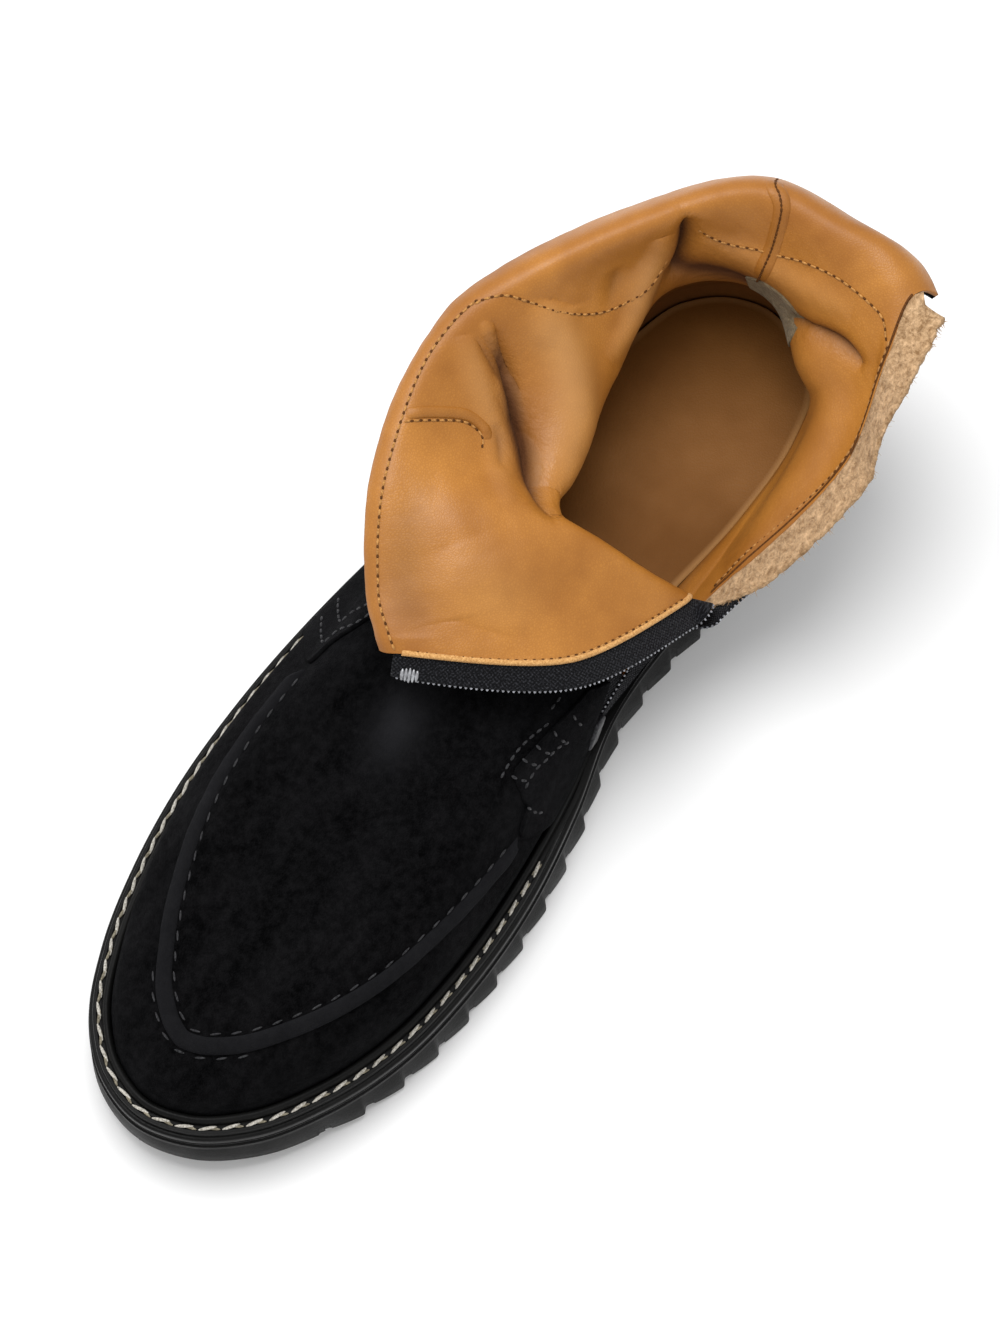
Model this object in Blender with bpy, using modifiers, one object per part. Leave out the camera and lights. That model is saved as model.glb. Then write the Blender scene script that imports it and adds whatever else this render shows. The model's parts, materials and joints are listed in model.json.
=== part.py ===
"""A right ankle boot of chukka height, black suede with a tan lining, standing open and slack.

Sizes in the tables are millimetres. MM turns them into metres.
X runs forward to the toe, Y to the wearer's left, which is the inner (medial) side, Z up.
The origin is on the floor, under the middle of the heel seat.
"""

import math

import bmesh
import bpy
import numpy as np

MM = 0.001

# Driving sizes of the sole and the wall
MIDSOLE_THICK = 4.5
INSOLE_THICK = 3.0
WELT_THICK = 2.2
WELT_RIB_RISE = 2.2
WELT_RIB_WIDE = 2.0
WELT_SETBACK = 1.6
WALL = 2.4
FIT_GAP = 0.3

# Outsole lugs: saw teeth along both sides and grooves across the tread
LUG_PITCH = 13.0
LUG_REACH = 1.8
LUG_FIRST_X = -28.0
LUG_LAST_X = 232.0
LUG_SHOULDER = 0.55
GROOVE_WIDE = 3.6
GROOVE_DEEP = 4.2
GROOVE_RUN = 0.62
TOOTH_PEAK = 0.2
RIM_STEP = 1.0

# Outline of the midsole: where the row lies along the foot, how far each side reaches, and
# how wide the rim is that shows round the upper
OUTLINE = (
    # x, lateral, medial, lateral rim, medial rim
    (-38.0, 0.0, 0.0, 5.0, 5.0),
    (-33.5, -16.0, 16.0, 5.0, 5.0),
    (-21.0, -29.0, 30.0, 5.0, 4.5),
    (0.0, -35.5, 36.5, 5.0, 4.5),
    (30.0, -39.0, 36.5, 5.5, 4.0),
    (60.0, -44.0, 33.0, 6.0, 4.0),
    (90.0, -50.0, 33.0, 6.5, 4.0),
    (120.0, -54.0, 41.0, 7.0, 5.5),
    (150.0, -55.5, 46.5, 7.0, 7.0),
    (180.0, -54.0, 47.5, 7.0, 7.0),
    (205.0, -49.5, 45.0, 7.0, 7.0),
    (230.0, -41.5, 37.0, 7.0, 7.0),
    (249.0, -31.0, 26.0, 7.0, 7.0),
    (261.0, -17.0, 12.0, 7.0, 7.0),
    (265.0, -2.0, -2.0, 7.0, 7.0),
)

# Side view of the sole: underside with its arch and toe spring, and the top of the midsole
PROFILE = (
    # x, underside, top
    (-38.0, 0.0, 33.5),
    (0.0, 0.0, 32.0),
    (30.0, 0.0, 30.0),
    (65.0, 3.2, 26.5),
    (100.0, 0.0, 22.5),
    (140.0, 0.0, 20.2),
    (185.0, 0.0, 20.0),
    (215.0, 1.8, 21.6),
    (240.0, 5.4, 24.4),
    (265.0, 10.5, 28.2),
)
FLAT_RUNS = ((-38.0, 30.0), (100.0, 185.0))

# Sections of the upper round the boot, from the front edge of the zip over the toe and the
# outer side to the back edge of the zip. Each starts on the feather line at feather_x, and
# passes the apron seam, the ankle, the slack fold, the flared funnel, the collar and its turn.
STATION_COLUMNS = (
    "feather_x", "side", "inset", "rise", "crown_out", "crown_z",
    "ankle_x", "ankle_y", "ankle_z", "fold_x", "fold_y", "fold_z",
    "funnel_x", "funnel_y", "funnel_z", "collar_x", "collar_y", "collar_z",
    "turn_x", "turn_y", "turn_z",
)
STATIONS = {
    "zip_front": (
        102, 1, -1.5, 10.5, 0, 0, 88, 29, 43, 63, 36.5, 54, 103, 24.5, 73, 130, -13, 82, 130.5, -16, 80.5),
    "front_medial": (
        186, 1, 6, 27, 0, 3, 92, 22, 56, 69, 24, 68, 99, 8, 81, 127, -18, 85, 128, -19.5, 83),
    "front": (
        265, 0, 17, 16, 0, -2, 96, 2, 70, 73, 9, 79, 96, -7, 90, 120, -26, 88, 121, -28, 86),
    "front_lateral": (
        186, -1, 10, 27, 0, 2, 91, -16, 66, 74, 0, 81, 87, -21, 94, 102, -38, 97, 103, -40.5, 95),
    "crease": (
        125, -1, 9, 26, 0, 0, 80, -30, 61, 68, -6, 79, 66, -25, 86, 79, -47, 103, 80, -49.5, 101),
    "lateral_front": (
        85, -1, 3, 19, 2, 0, 61, -36, 60, 56, -9, 75, 53, -30, 90, 60, -50, 107, 60, -52.5, 105),
    "lateral": (
        45, -1, 0, 13, 3, 0, 36, -33, 59, 29, -16, 74, 33, -31, 95, 40, -46, 110, 39, -51, 106),
    "back_lateral": (
        -8, -1, 0, 13, 3, 0, -5, -29, 62, 0, -19, 79, 0, -22, 98, 6, -29, 112, 1, -34, 105),
    "back": (
        -38, 0, 0, 13, 3, 0, -32, 0, 63, -14, -1, 81, -19, -3, 99, -25, -7, 112, -31, -9, 105),
    "back_medial": (
        -14, 1, 0, 13, 2, 0, -16, 28, 58, -12, 25, 77, -20, 23, 96, -31, 19, 109, -37, 21, 102),
    "medial_back": (
        30, 1, -1, 12, 0, 0, 20, 36, 49, 2, 41, 66, -10, 46, 87, -33, 33, 107, -38, 37, 100),
    "zip_back": (
        102, 1, -1.5, 6.5, 0, 0, 79, 34.5, 37, 57, 40, 45, 10, 54, 78, -29, 44, 103, -33, 48, 99),
}
COLUMNS_PER_STATION = (8, 8, 8, 6, 4, 4, 4, 4, 4, 4, 6)
BASE_RISE = 2.1
BASE_SHARE = 0.11
BULGE_SHARE = 0.6
BULGE_OUT = 1.8
FULL_RISE = 27.0
INWARD_SPAN = 20.0

# Rows of the upper between its control rows: feather, base, bulge, ridge, three over the vamp,
# ankle, fold, funnel, collar and turned edge
FEATHER, BASE, BULGE, RIDGE, ANKLE, FOLD, FUNNEL, COLLAR, TURN = 0, 1, 2, 3, 7, 8, 9, 10, 11
VAMP_SHARES = (0.25, 0.5, 0.75)
ROWS = (
    0.0, 1.0, 1.6, 2.3, 2.78, 3.0, 3.08, 3.4, 3.8, 4.5, 5.3, 6.1, 6.7, 7.15,
    7.5, 7.78, 8.0, 8.22, 8.6, 9.0, 9.35, 9.7, 10.0, 10.35, 10.7, 11.0,
)
ZIP_FOOT = 1.2
ZIP_SLIT = 0.015

# Pieces laid on the upper: from and to which section place and which row, and how thick
OVERLAYS = {
    "saddle_medial": (0.125, 0.375, 1.6, 4.5, 1.2),
    "saddle_lateral": (3.667, 4.0, 1.6, 4.5, 1.2),
    "apron_seam": (0.5, 3.5, 2.78, 3.08, 1.5),
}
TAPE_THICK = 0.8
TAPE_SHOWS = 7.0
CLOSED_SHOWS = 2.2
EDGE_SMOOTHING = 2
GUARD_THICK = 1.1
GUARD_SHOWS = 11.0
FRONT_ROWS = (4.5, 10.0)
BACK_ROWS = (4.5, 9.7)
GUARD_ROWS = (7.5, 9.7)

# Materials: colour, roughness, metallic
FINISHES = {
    "suede": ((0.012, 0.012, 0.014), 0.95, 0.0),
    "rubber": ((0.018, 0.017, 0.017), 0.6, 0.0),
    "welt": ((0.02, 0.019, 0.019), 0.5, 0.0),
    "tan_leather": ((0.42, 0.2, 0.065), 0.5, 0.0),
    "split_leather": ((0.5, 0.31, 0.15), 0.9, 0.0),
    "zip_tape": ((0.02, 0.02, 0.024), 0.85, 0.0),
}


def smooth_through(knots, values, at):
    """A cubic curve through the values at the knots, with slopes that suit uneven knots."""
    knots = np.asarray(knots, float)
    values = np.asarray(values, float)
    steps = np.diff(knots)
    lifts = np.diff(values, axis=0) / steps.reshape(-1, *[1] * (values.ndim - 1))
    slopes = np.empty_like(values)
    for i in range(1, len(knots) - 1):
        before, after = steps[i - 1], steps[i]
        slopes[i] = (lifts[i - 1] * after + lifts[i] * before) / (before + after)
    slopes[0] = 1.5 * lifts[0] - 0.5 * slopes[1]
    slopes[-1] = 1.5 * lifts[-1] - 0.5 * slopes[-2]
    at = np.asarray(at, float)
    cell = np.clip(np.searchsorted(knots, at, side="right") - 1, 0, len(steps) - 1)
    span = steps[cell]
    t = (at - knots[cell]) / span
    shape = at.shape + (1,) * (values.ndim - 1)
    t, span = t.reshape(shape), span.reshape(shape)
    near, far = values[cell], values[cell + 1]
    return (
        near * (1 + 2 * t) * (1 - t) ** 2
        + far * t * t * (3 - 2 * t)
        + slopes[cell] * span * t * (1 - t) ** 2
        - slopes[cell + 1] * span * t * t * (1 - t)
    )


def outline_points(rims=0.0, inset=0.0, count=720):
    """The midsole's outline, drawn in by a number of rim widths and an inset.

    It runs from the heel along the outer side to the toe and back along the inner side.
    """
    rows = np.array(OUTLINE)
    loop = np.vstack([rows[:, [0, 1, 3]], rows[-2:0:-1, [0, 2, 4]]])
    wrap = 4
    turned = np.vstack([loop[-wrap:], loop, loop[:wrap + 1]])
    chords = np.concatenate([[0.0], np.cumsum(np.hypot(*np.diff(turned[:, :2], axis=0).T))])
    at = np.linspace(chords[wrap], chords[wrap + len(loop)], count, endpoint=False)
    found = smooth_through(chords, turned, at)
    points, rim = found[:, :2], found[:, 2]
    ahead = np.roll(points, -1, axis=0) - np.roll(points, 1, axis=0)
    ahead /= np.linalg.norm(ahead, axis=1)[:, None]
    inward = np.stack([-ahead[:, 1], ahead[:, 0]], axis=1)
    return points + inward * (rim * rims + inset)[:, None]


def split_sides(points):
    """The outer and the inner side of an outline, each as x and y running from heel to toe."""
    heel, toe = points[:, 0].argmin(), points[:, 0].argmax()
    turned = np.roll(points, -heel, axis=0)
    toe = (toe - heel) % len(points)
    return turned[: toe + 1], np.vstack([turned[:1], turned[: toe - 1 : -1]])


def underside(x):
    """Height of the tread, with heel and forefoot flat on the floor."""
    rows = np.array(PROFILE)
    height = smooth_through(rows[:, 0], rows[:, 1], x)
    for low, high in FLAT_RUNS:
        height = np.where((x >= low) & (x <= high), 0.0, height)
    return np.maximum(height, 0.0)


def midsole_top(x):
    """Height of the midsole's top, which the upper stands on."""
    rows = np.array(PROFILE)
    return smooth_through(rows[:, 0], rows[:, 2], x)


def outsole_top(x):
    """Height of the tread unit's top, just under the midsole."""
    return midsole_top(x) - MIDSOLE_THICK - FIT_GAP


def lug_shoulder(x):
    """Height on the side of the tread where the teeth begin to stand out."""
    return underside(x) + (outsole_top(x) - underside(x)) * LUG_SHOULDER


def insole_floor(x):
    """Height that the insole lies on."""
    return midsole_top(x) + FIT_GAP


def lug_teeth(x):
    """Saw-tooth share from 0 to 1 along the side of the tread, with none at toe and heel ends."""
    share = ((x - LUG_FIRST_X) / LUG_PITCH) % 1.0
    tooth = np.where(share < TOOTH_PEAK, share / TOOTH_PEAK, (1.0 - share) / (1.0 - TOOTH_PEAK))
    return np.where((x > LUG_FIRST_X) & (x < LUG_LAST_X), tooth, 0.35)


# Blender helpers
def finish_material(name):
    """A plain Principled material from the table of finishes."""
    found = bpy.data.materials.get(name)
    if found:
        return found
    colour, roughness, metallic = FINISHES[name]
    material = bpy.data.materials.new(name)
    material.use_nodes = True
    shader = material.node_tree.nodes["Principled BSDF"]
    shader.inputs["Base Color"].default_value = (*colour, 1.0)
    shader.inputs["Roughness"].default_value = roughness
    shader.inputs["Metallic"].default_value = metallic
    material.diffuse_color = (*colour, 1.0)
    return material


def add_object(name, bm, finish, collection, helper=False):
    """Makes an object from a bmesh in millimetres, with its material."""
    bmesh.ops.scale(bm, vec=(MM, MM, MM), verts=bm.verts)
    mesh = bpy.data.meshes.new(name)
    bm.to_mesh(mesh)
    bm.free()
    obj = bpy.data.objects.new(name, mesh)
    collection.objects.link(obj)
    if helper:
        obj.hide_render = True
        obj.display_type = "WIRE"
        return obj
    mesh.materials.append(finish_material(finish))
    mesh.shade_smooth()
    mesh.set_sharp_from_angle(angle=math.radians(50))
    return obj


def grid_bmesh(points):
    """A grid of faces whose corners are moved onto a table of points, rows by columns."""
    rows, columns = points.shape[:2]
    bm = bmesh.new()
    bmesh.ops.create_grid(bm, x_segments=columns - 1, y_segments=rows - 1, size=1.0)
    bm.verts.ensure_lookup_table()
    for vert, point in zip(bm.verts, points.reshape(-1, 3)):
        vert.co = point
    return bm


def close_and_face_out(bm, reach=0.01):
    """Joins corners that meet, drops faces without area and turns every face outward."""
    bmesh.ops.remove_doubles(bm, verts=bm.verts, dist=reach)
    bmesh.ops.dissolve_degenerate(bm, edges=bm.edges, dist=reach)
    bmesh.ops.recalc_face_normals(bm, faces=bm.faces)


def wrapped_slab(rings):
    """A closed body from section rings along the foot; the ends of the rings meet at the tips."""
    points = np.concatenate([rings, rings[:1]], axis=0)
    bm = grid_bmesh(points)
    close_and_face_out(bm)
    return bm


def side_line(rims, inset, share, which):
    """One side of the outline at a share of its length, as x and y."""
    curve = split_sides(outline_points(rims, inset))[0 if which < 0 else 1]
    x = curve[0, 0] + (curve[-1, 0] - curve[0, 0]) * share
    return x, np.interp(x, curve[:, 0], curve[:, 1])


def length_shares(count):
    """Shares along the foot, drawn closer together towards the two round ends."""
    return 0.5 - 0.5 * np.cos(np.linspace(0.0, math.pi, count))


def slab_rings(levels, share):
    """Section rings of a slab. Each level has rim widths, inset, height rule and tooth reach."""
    outer, inner = [], []
    for rims, inset, height, teeth in levels:
        for which, line in ((-1, outer), (1, inner)):
            x, y = side_line(rims, inset, share, which)
            y = y + which * teeth * lug_teeth(x)
            y[[0, -1]] = side_line(rims, inset, share, 1)[1][[0, -1]]
            line.append(np.stack([x, y, height(x)], axis=1))
    return np.array(outer + inner[::-1])


# The surface of the upper
def feather_line():
    """The feather line from the foot of the zip, over the toe and outer side, and back again."""
    loop = outline_points(1.0, 0.0, 1440)[::-1]
    x = STATIONS["zip_front"][0]
    start = np.where(loop[:, 1] > 0, np.abs(loop[:, 0] - x), 1e9).argmin()
    loop = np.roll(loop, -start, axis=0)
    return np.vstack([loop, loop[:1]])


def station_marks(loop, travel):
    """How far along the feather line each section starts."""
    marks = []
    for name, row in STATIONS.items():
        x, side = row[:2]
        if name == "zip_front":
            marks.append(0.0)
        elif name == "zip_back":
            marks.append(travel[-1])
        elif side == 0:
            tip = loop[:, 0].argmax() if x > 0 else loop[:, 0].argmin()
            marks.append(travel[tip])
        else:
            miss = np.where(loop[:, 1] * side > 0, np.abs(loop[:, 0] - x), 1e9)
            marks.append(travel[miss.argmin()])
    return marks


def upper_control(u):
    """Control rows of the upper at places u, counted in sections from the front zip edge."""
    loop = feather_line()
    travel = np.concatenate([[0.0], np.cumsum(np.hypot(*np.diff(loop, axis=0).T))])
    names = np.arange(len(STATIONS))
    table = np.array(list(STATIONS.values()), float)
    column = {name: i for i, name in enumerate(STATION_COLUMNS)}

    def along(*wanted):
        picked = table[:, [column[name] for name in wanted]]
        found = smooth_through(names, picked, u)
        return found[:, 0] if len(wanted) == 1 else found

    at = smooth_through(names, station_marks(loop, travel), u)
    plan = np.stack([np.interp(at, travel, loop[:, k]) for k in (0, 1)], axis=1)
    ahead = np.stack([np.interp((at + INWARD_SPAN) % travel[-1], travel, loop[:, k]) for k in (0, 1)], axis=1)
    back = np.stack([np.interp((at - INWARD_SPAN) % travel[-1], travel, loop[:, k]) for k in (0, 1)], axis=1)
    run = (ahead - back) / np.linalg.norm(ahead - back, axis=1)[:, None]
    inward = np.stack([run[:, 1], -run[:, 0]], axis=1)
    floor = midsole_top(plan[:, 0]) + FIT_GAP
    inset, rise = along("inset"), along("rise")

    def wall(reach, height):
        flat = plan + inward * reach[:, None]
        return np.column_stack([flat, floor + height])

    bulge = BULGE_OUT * np.clip(rise / FULL_RISE, 0.0, 1.0)
    rows = {
        FEATHER: wall(0.0 * rise, 0.0 * rise),
        BASE: wall(-0.1 * bulge, BASE_RISE + BASE_SHARE * rise),
        BULGE: wall(0.2 * inset - bulge, BULGE_SHARE * rise),
        RIDGE: wall(inset, rise),
        ANKLE: along("ankle_x", "ankle_y", "ankle_z"),
        FOLD: along("fold_x", "fold_y", "fold_z"),
        FUNNEL: along("funnel_x", "funnel_y", "funnel_z"),
        COLLAR: along("collar_x", "collar_y", "collar_z"),
        TURN: along("turn_x", "turn_y", "turn_z"),
    }
    crown = np.column_stack([-inward * along("crown_out")[:, None], along("crown_z")])
    for step, share in enumerate(VAMP_SHARES, start=1):
        blend = rows[RIDGE] * (1 - share) + rows[ANKLE] * share
        rows[RIDGE + step] = blend + crown * 4 * share * (1 - share)
    return np.array([rows[k] for k in sorted(rows)])


def grid_normals(points):
    """Outward unit normals of a grid of surface points."""
    across = np.gradient(points, axis=1)
    up = np.gradient(points, axis=0)
    normal = np.cross(up, across)
    return normal / np.maximum(np.linalg.norm(normal, axis=2), 1e-9)[:, :, None]


def upper_surface(rows, u):
    """Points of the upper's outer face at control rows and section places."""
    rows, u = np.asarray(rows, float), np.asarray(u, float)
    control = upper_control(u)
    steps = np.linalg.norm(np.diff(control, axis=0), axis=2) ** 0.5
    knots = np.concatenate([np.zeros((1, len(u))), np.cumsum(np.maximum(steps, 0.1), axis=0)])
    points = np.empty((len(rows), len(u), 3))
    for i in range(len(u)):
        at = np.interp(rows, np.arange(len(control)), knots[:, i])
        points[:, i] = smooth_through(knots[:, i], control[:, i], at)
    return points


def section_places():
    """Places of the upper's columns, counted in sections."""
    steps = [np.arange(count) / count + i for i, count in enumerate(COLUMNS_PER_STATION)]
    places = np.concatenate(steps + [[len(COLUMNS_PER_STATION)]])
    places[0] += ZIP_SLIT
    places[-1] -= ZIP_SLIT
    return places


# Build of the pieces
def add_solidify(obj, thickness, offset):
    """A Solidify modifier that gives a sheet its thickness, in millimetres."""
    modifier = obj.modifiers.new("wall", "SOLIDIFY")
    modifier.thickness = thickness * MM
    modifier.offset = offset
    modifier.use_even_offset = False


def groove_cutters():
    """Blocks that cut the grooves between the lugs into the tread from both sides."""
    bm = bmesh.new()
    count = int((LUG_LAST_X - LUG_FIRST_X) / LUG_PITCH) + 1
    for step in range(count):
        x = LUG_FIRST_X + step * LUG_PITCH
        base = float(underside(np.array([x]))[0])
        for which in (-1, 1):
            curve = split_sides(outline_points())[0 if which < 0 else 1]
            edge = float(np.interp(x, curve[:, 0], curve[:, 1]))
            run = abs(edge) * GROOVE_RUN + 8.0
            made = bmesh.ops.create_cube(bm, size=1.0)["verts"]
            bmesh.ops.scale(bm, vec=(GROOVE_WIDE, run, 2 * GROOVE_DEEP), verts=made)
            middle = edge + which * (8.0 - run / 2)
            bmesh.ops.translate(bm, vec=(x, middle, base), verts=made)
    return bm


def build_outsole(parts, cutters):
    """The tread unit with its rim, saw-tooth sides, arch, heel and grooves."""
    levels = (
        (0.0, 0.0, outsole_top, 0.0),
        (0.0, 0.2, lambda x: outsole_top(x) - 2.4, 0.0),
        (0.0, RIM_STEP, lambda x: outsole_top(x) - 3.0, 0.0),
        (0.0, 0.4 * RIM_STEP, lug_shoulder, 0.45 * LUG_REACH),
        (0.0, 0.0, underside, LUG_REACH),
    )
    lugs = int((LUG_LAST_X - LUG_FIRST_X) / LUG_PITCH)
    tips = split_sides(outline_points())[0][[0, -1], 0]
    corners = np.add.outer(np.arange(lugs), (0.0, TOOTH_PEAK)).ravel()
    run = (LUG_FIRST_X + LUG_PITCH * np.append(corners, lugs) - tips[0]) / np.ptp(tips)
    ends = length_shares(30)
    share = np.concatenate([ends[ends < run[0] - 0.002], run, ends[ends > run[-1] + 0.002]])
    bm = wrapped_slab(slab_rings(levels, share))
    outsole = add_object("outsole", bm, "rubber", parts)
    cutter = add_object("groove_cutters", groove_cutters(), None, cutters, helper=True)
    boolean = outsole.modifiers.new("grooves", "BOOLEAN")
    boolean.operation = "DIFFERENCE"
    boolean.solver = "EXACT"
    boolean.object = cutter


def build_midsole(parts):
    """The midsole: the rim that the stitching runs through, with a broken upper edge."""
    levels = (
        (0.0, 1.0, midsole_top, 0.0),
        (0.0, 0.4, lambda x: midsole_top(x) - 0.8, 0.0),
        (0.0, 0.6, lambda x: midsole_top(x) - MIDSOLE_THICK, 0.0),
    )
    bm = wrapped_slab(slab_rings(levels, length_shares(48)))
    add_object("midsole", bm, "rubber", parts)


def build_insole(parts):
    """The insole that shows at the bottom of the boot."""
    levels = (
        (1.0, WALL + 1.2, lambda x: insole_floor(x) + INSOLE_THICK, 0.0),
        (1.0, WALL + 0.6, lambda x: insole_floor(x) + INSOLE_THICK - 0.8, 0.0),
        (1.0, WALL + 0.6, insole_floor, 0.0),
    )
    bm = wrapped_slab(slab_rings(levels, length_shares(44)))
    add_object("insole", bm, "tan_leather", parts)


def build_welt(parts):
    """The welt: a flat strip round the upper with a raised rib against it at the forefoot."""
    outer = outline_points(0.0, WELT_SETBACK, 88)
    inner = outline_points(1.0, -1.5 * FIT_GAP, 88)
    away = outer - inner
    reach = np.linalg.norm(away, axis=1)
    away /= reach[:, None]
    fade = np.clip((inner[:, 0] - 100.0) / 25.0, 0.0, 1.0)
    rib = WELT_THICK + WELT_RIB_RISE * fade
    rings = (
        (0.0, 0.0 * rib),
        (0.0, rib - 0.3),
        (0.4, rib),
        (WELT_RIB_WIDE - 0.4, rib),
        (WELT_RIB_WIDE, WELT_THICK + 0.0 * rib - 0.1),
        (reach - 0.5, WELT_THICK + 0.0 * rib - 0.1),
        (reach, WELT_THICK + 0.0 * rib - 0.6),
        (reach, 0.0 * rib),
    )
    points = []
    for out, height in rings + rings[:1]:
        flat = inner + away * np.broadcast_to(out, reach.shape)[:, None]
        ring = np.column_stack([flat, midsole_top(flat[:, 0]) + FIT_GAP + height])
        points.append(np.vstack([ring, ring[:1]]))
    bm = grid_bmesh(np.array(points))
    close_and_face_out(bm)
    add_object("welt", bm, "welt", parts)


def build_upper(parts):
    """The upper: one hollow wall from the feather line to the turned collar, split at the zip."""
    points = upper_surface(ROWS, section_places())
    low = np.array(ROWS) <= ZIP_FOOT + 0.01
    points[low, -1] = points[low, 0] = (points[low, -1] + points[low, 0]) / 2
    bm = grid_bmesh(points)
    bmesh.ops.remove_doubles(bm, verts=bm.verts, dist=0.01)
    bmesh.ops.reverse_faces(bm, faces=bm.faces)
    upper = add_object("upper", bm, "suede", parts)
    add_solidify(upper, WALL, -1.0)


def build_overlays(parts):
    """The saddle patches and the raised apron seam, cut from the upper's own surface."""
    places = section_places()
    rows = np.array(ROWS)
    points = upper_surface(rows, places)
    raised = points + grid_normals(points) * FIT_GAP
    for name, (first, last, low, high, thick) in OVERLAYS.items():
        up = (rows >= low - 1e-3) & (rows <= high + 1e-3)
        across = (places >= first - 1e-3) & (places <= last + 1e-3)
        bm = grid_bmesh(raised[up][:, across])
        bmesh.ops.reverse_faces(bm, faces=bm.faces)
        patch = add_object(name, bm, "suede", parts)
        add_solidify(patch, thick, 1.0)


def zip_edge(back, rows):
    """One zip edge of the upper: its points, the way out past the edge and the outer normal.

    The way out carries on the wall and is evened out from row to row.
    """
    places = section_places()[:-3:-1] if back else section_places()[:2]
    edge, inside = upper_surface(rows, places).transpose(1, 0, 2)
    along = np.gradient(edge, axis=0)
    along /= np.linalg.norm(along, axis=1)[:, None]
    out = edge - inside
    out /= np.linalg.norm(out, axis=1)[:, None]
    for _ in range(EDGE_SMOOTHING):
        out[1:-1] = (out[:-2] + 2 * out[1:-1] + out[2:]) / 4
    out -= along * (out * along).sum(axis=1)[:, None]
    out /= np.linalg.norm(out, axis=1)[:, None]
    return edge, out, np.cross(along, out) * (1.0 if back else -1.0)


def edge_strip(name, finish, parts, back, ends, shows, depth, thick, kept=4):
    """A strip that carries a zip edge on, at a depth within the thickness of the wall."""
    rows = [row for row in ROWS if ends[0] <= row <= ends[1]]
    edge, out, normal = zip_edge(back, rows)
    shows = CLOSED_SHOWS + (shows - CLOSED_SHOWS) * np.clip((np.array(rows) - FOLD) / 0.6, 0.0, 1.0)
    reach = np.linspace(2 * FIT_GAP + 0.0 * shows, shows, 4, axis=1)[:, :kept]
    points = edge[:, None] + out[:, None] * reach[:, :, None] - normal[:, None] * depth
    bm = grid_bmesh(points)
    if back:
        bmesh.ops.reverse_faces(bm, faces=bm.faces)
    strip = add_object(name, bm, finish, parts)
    add_solidify(strip, thick, -1.0)


def build_zip(parts):
    """Both zip tapes and the leather guard behind the back one."""
    middle = (WALL - TAPE_THICK) / 2
    outer, inner = 0.1, 0.1 + TAPE_THICK + FIT_GAP
    edge_strip(
        "zip_tape_front", "zip_tape", parts, False, FRONT_ROWS, TAPE_SHOWS, middle, TAPE_THICK)
    edge_strip(
        "zip_tape_back", "zip_tape", parts, True, BACK_ROWS, GUARD_SHOWS, outer, TAPE_THICK, kept=3)
    edge_strip(
        "zip_guard", "split_leather", parts, True, GUARD_ROWS, GUARD_SHOWS, inner, GUARD_THICK)


def main():
    """Clears the file and builds every piece of the boot."""
    for obj in list(bpy.data.objects):
        bpy.data.objects.remove(obj, do_unlink=True)
    parts = bpy.data.collections.new("ankle_boot")
    cutters = bpy.data.collections.new("cutters")
    bpy.context.scene.collection.children.link(parts)
    bpy.context.scene.collection.children.link(cutters)
    build_outsole(parts, cutters)
    build_midsole(parts)
    build_welt(parts)
    build_insole(parts)
    build_upper(parts)
    build_overlays(parts)
    build_zip(parts)


main()
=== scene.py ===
"""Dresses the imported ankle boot: black suede, slack tan lining, open side zip, stitched welt, lugged sole.

Sizes are millimetres in the tables and metres in the meshes. X runs to the toe, Y to the inner side, Z up.
Places on the upper are a pair: the section place u, counted from the front edge of the zip over the toe and
round the heel to the back edge of the zip, and the row, counted from the feather line up to the collar.
"""

import json
import logging
import math
from dataclasses import dataclass, field
from enum import Enum
from typing import Callable, Iterator, Optional, Sequence, Union

import bmesh
import bpy
import numpy as np
from mathutils import Matrix, Vector

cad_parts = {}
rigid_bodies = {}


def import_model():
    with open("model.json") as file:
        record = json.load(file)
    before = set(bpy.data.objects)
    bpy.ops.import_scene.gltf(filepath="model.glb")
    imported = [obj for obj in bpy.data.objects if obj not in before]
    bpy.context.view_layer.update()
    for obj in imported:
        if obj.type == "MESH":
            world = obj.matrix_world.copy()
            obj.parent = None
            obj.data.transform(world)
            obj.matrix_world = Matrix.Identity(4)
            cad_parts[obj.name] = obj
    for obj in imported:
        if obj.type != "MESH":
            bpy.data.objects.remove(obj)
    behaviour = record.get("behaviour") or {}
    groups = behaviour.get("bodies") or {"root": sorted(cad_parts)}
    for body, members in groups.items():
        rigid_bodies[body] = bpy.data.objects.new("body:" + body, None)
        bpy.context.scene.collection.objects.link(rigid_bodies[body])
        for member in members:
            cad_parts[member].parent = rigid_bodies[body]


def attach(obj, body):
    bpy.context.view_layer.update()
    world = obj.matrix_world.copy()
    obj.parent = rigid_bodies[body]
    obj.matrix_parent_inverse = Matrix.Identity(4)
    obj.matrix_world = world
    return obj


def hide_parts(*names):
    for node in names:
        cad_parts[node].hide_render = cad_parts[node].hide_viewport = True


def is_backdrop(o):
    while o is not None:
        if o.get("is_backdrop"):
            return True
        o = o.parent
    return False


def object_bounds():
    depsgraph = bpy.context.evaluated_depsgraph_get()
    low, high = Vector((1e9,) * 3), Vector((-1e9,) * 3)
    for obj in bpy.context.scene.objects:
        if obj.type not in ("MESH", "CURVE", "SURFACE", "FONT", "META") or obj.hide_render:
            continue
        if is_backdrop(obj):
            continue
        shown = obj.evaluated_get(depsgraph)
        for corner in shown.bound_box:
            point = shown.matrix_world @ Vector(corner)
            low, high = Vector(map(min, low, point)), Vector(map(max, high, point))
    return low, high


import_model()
CAD_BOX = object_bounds()
LOG = logging.getLogger("ankle_boot")
MM = 0.001
Table = tuple[tuple[float, ...], ...]
Place = tuple[float, float]
Feed = Union[bpy.types.NodeSocket, float, tuple[float, ...]]


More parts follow.
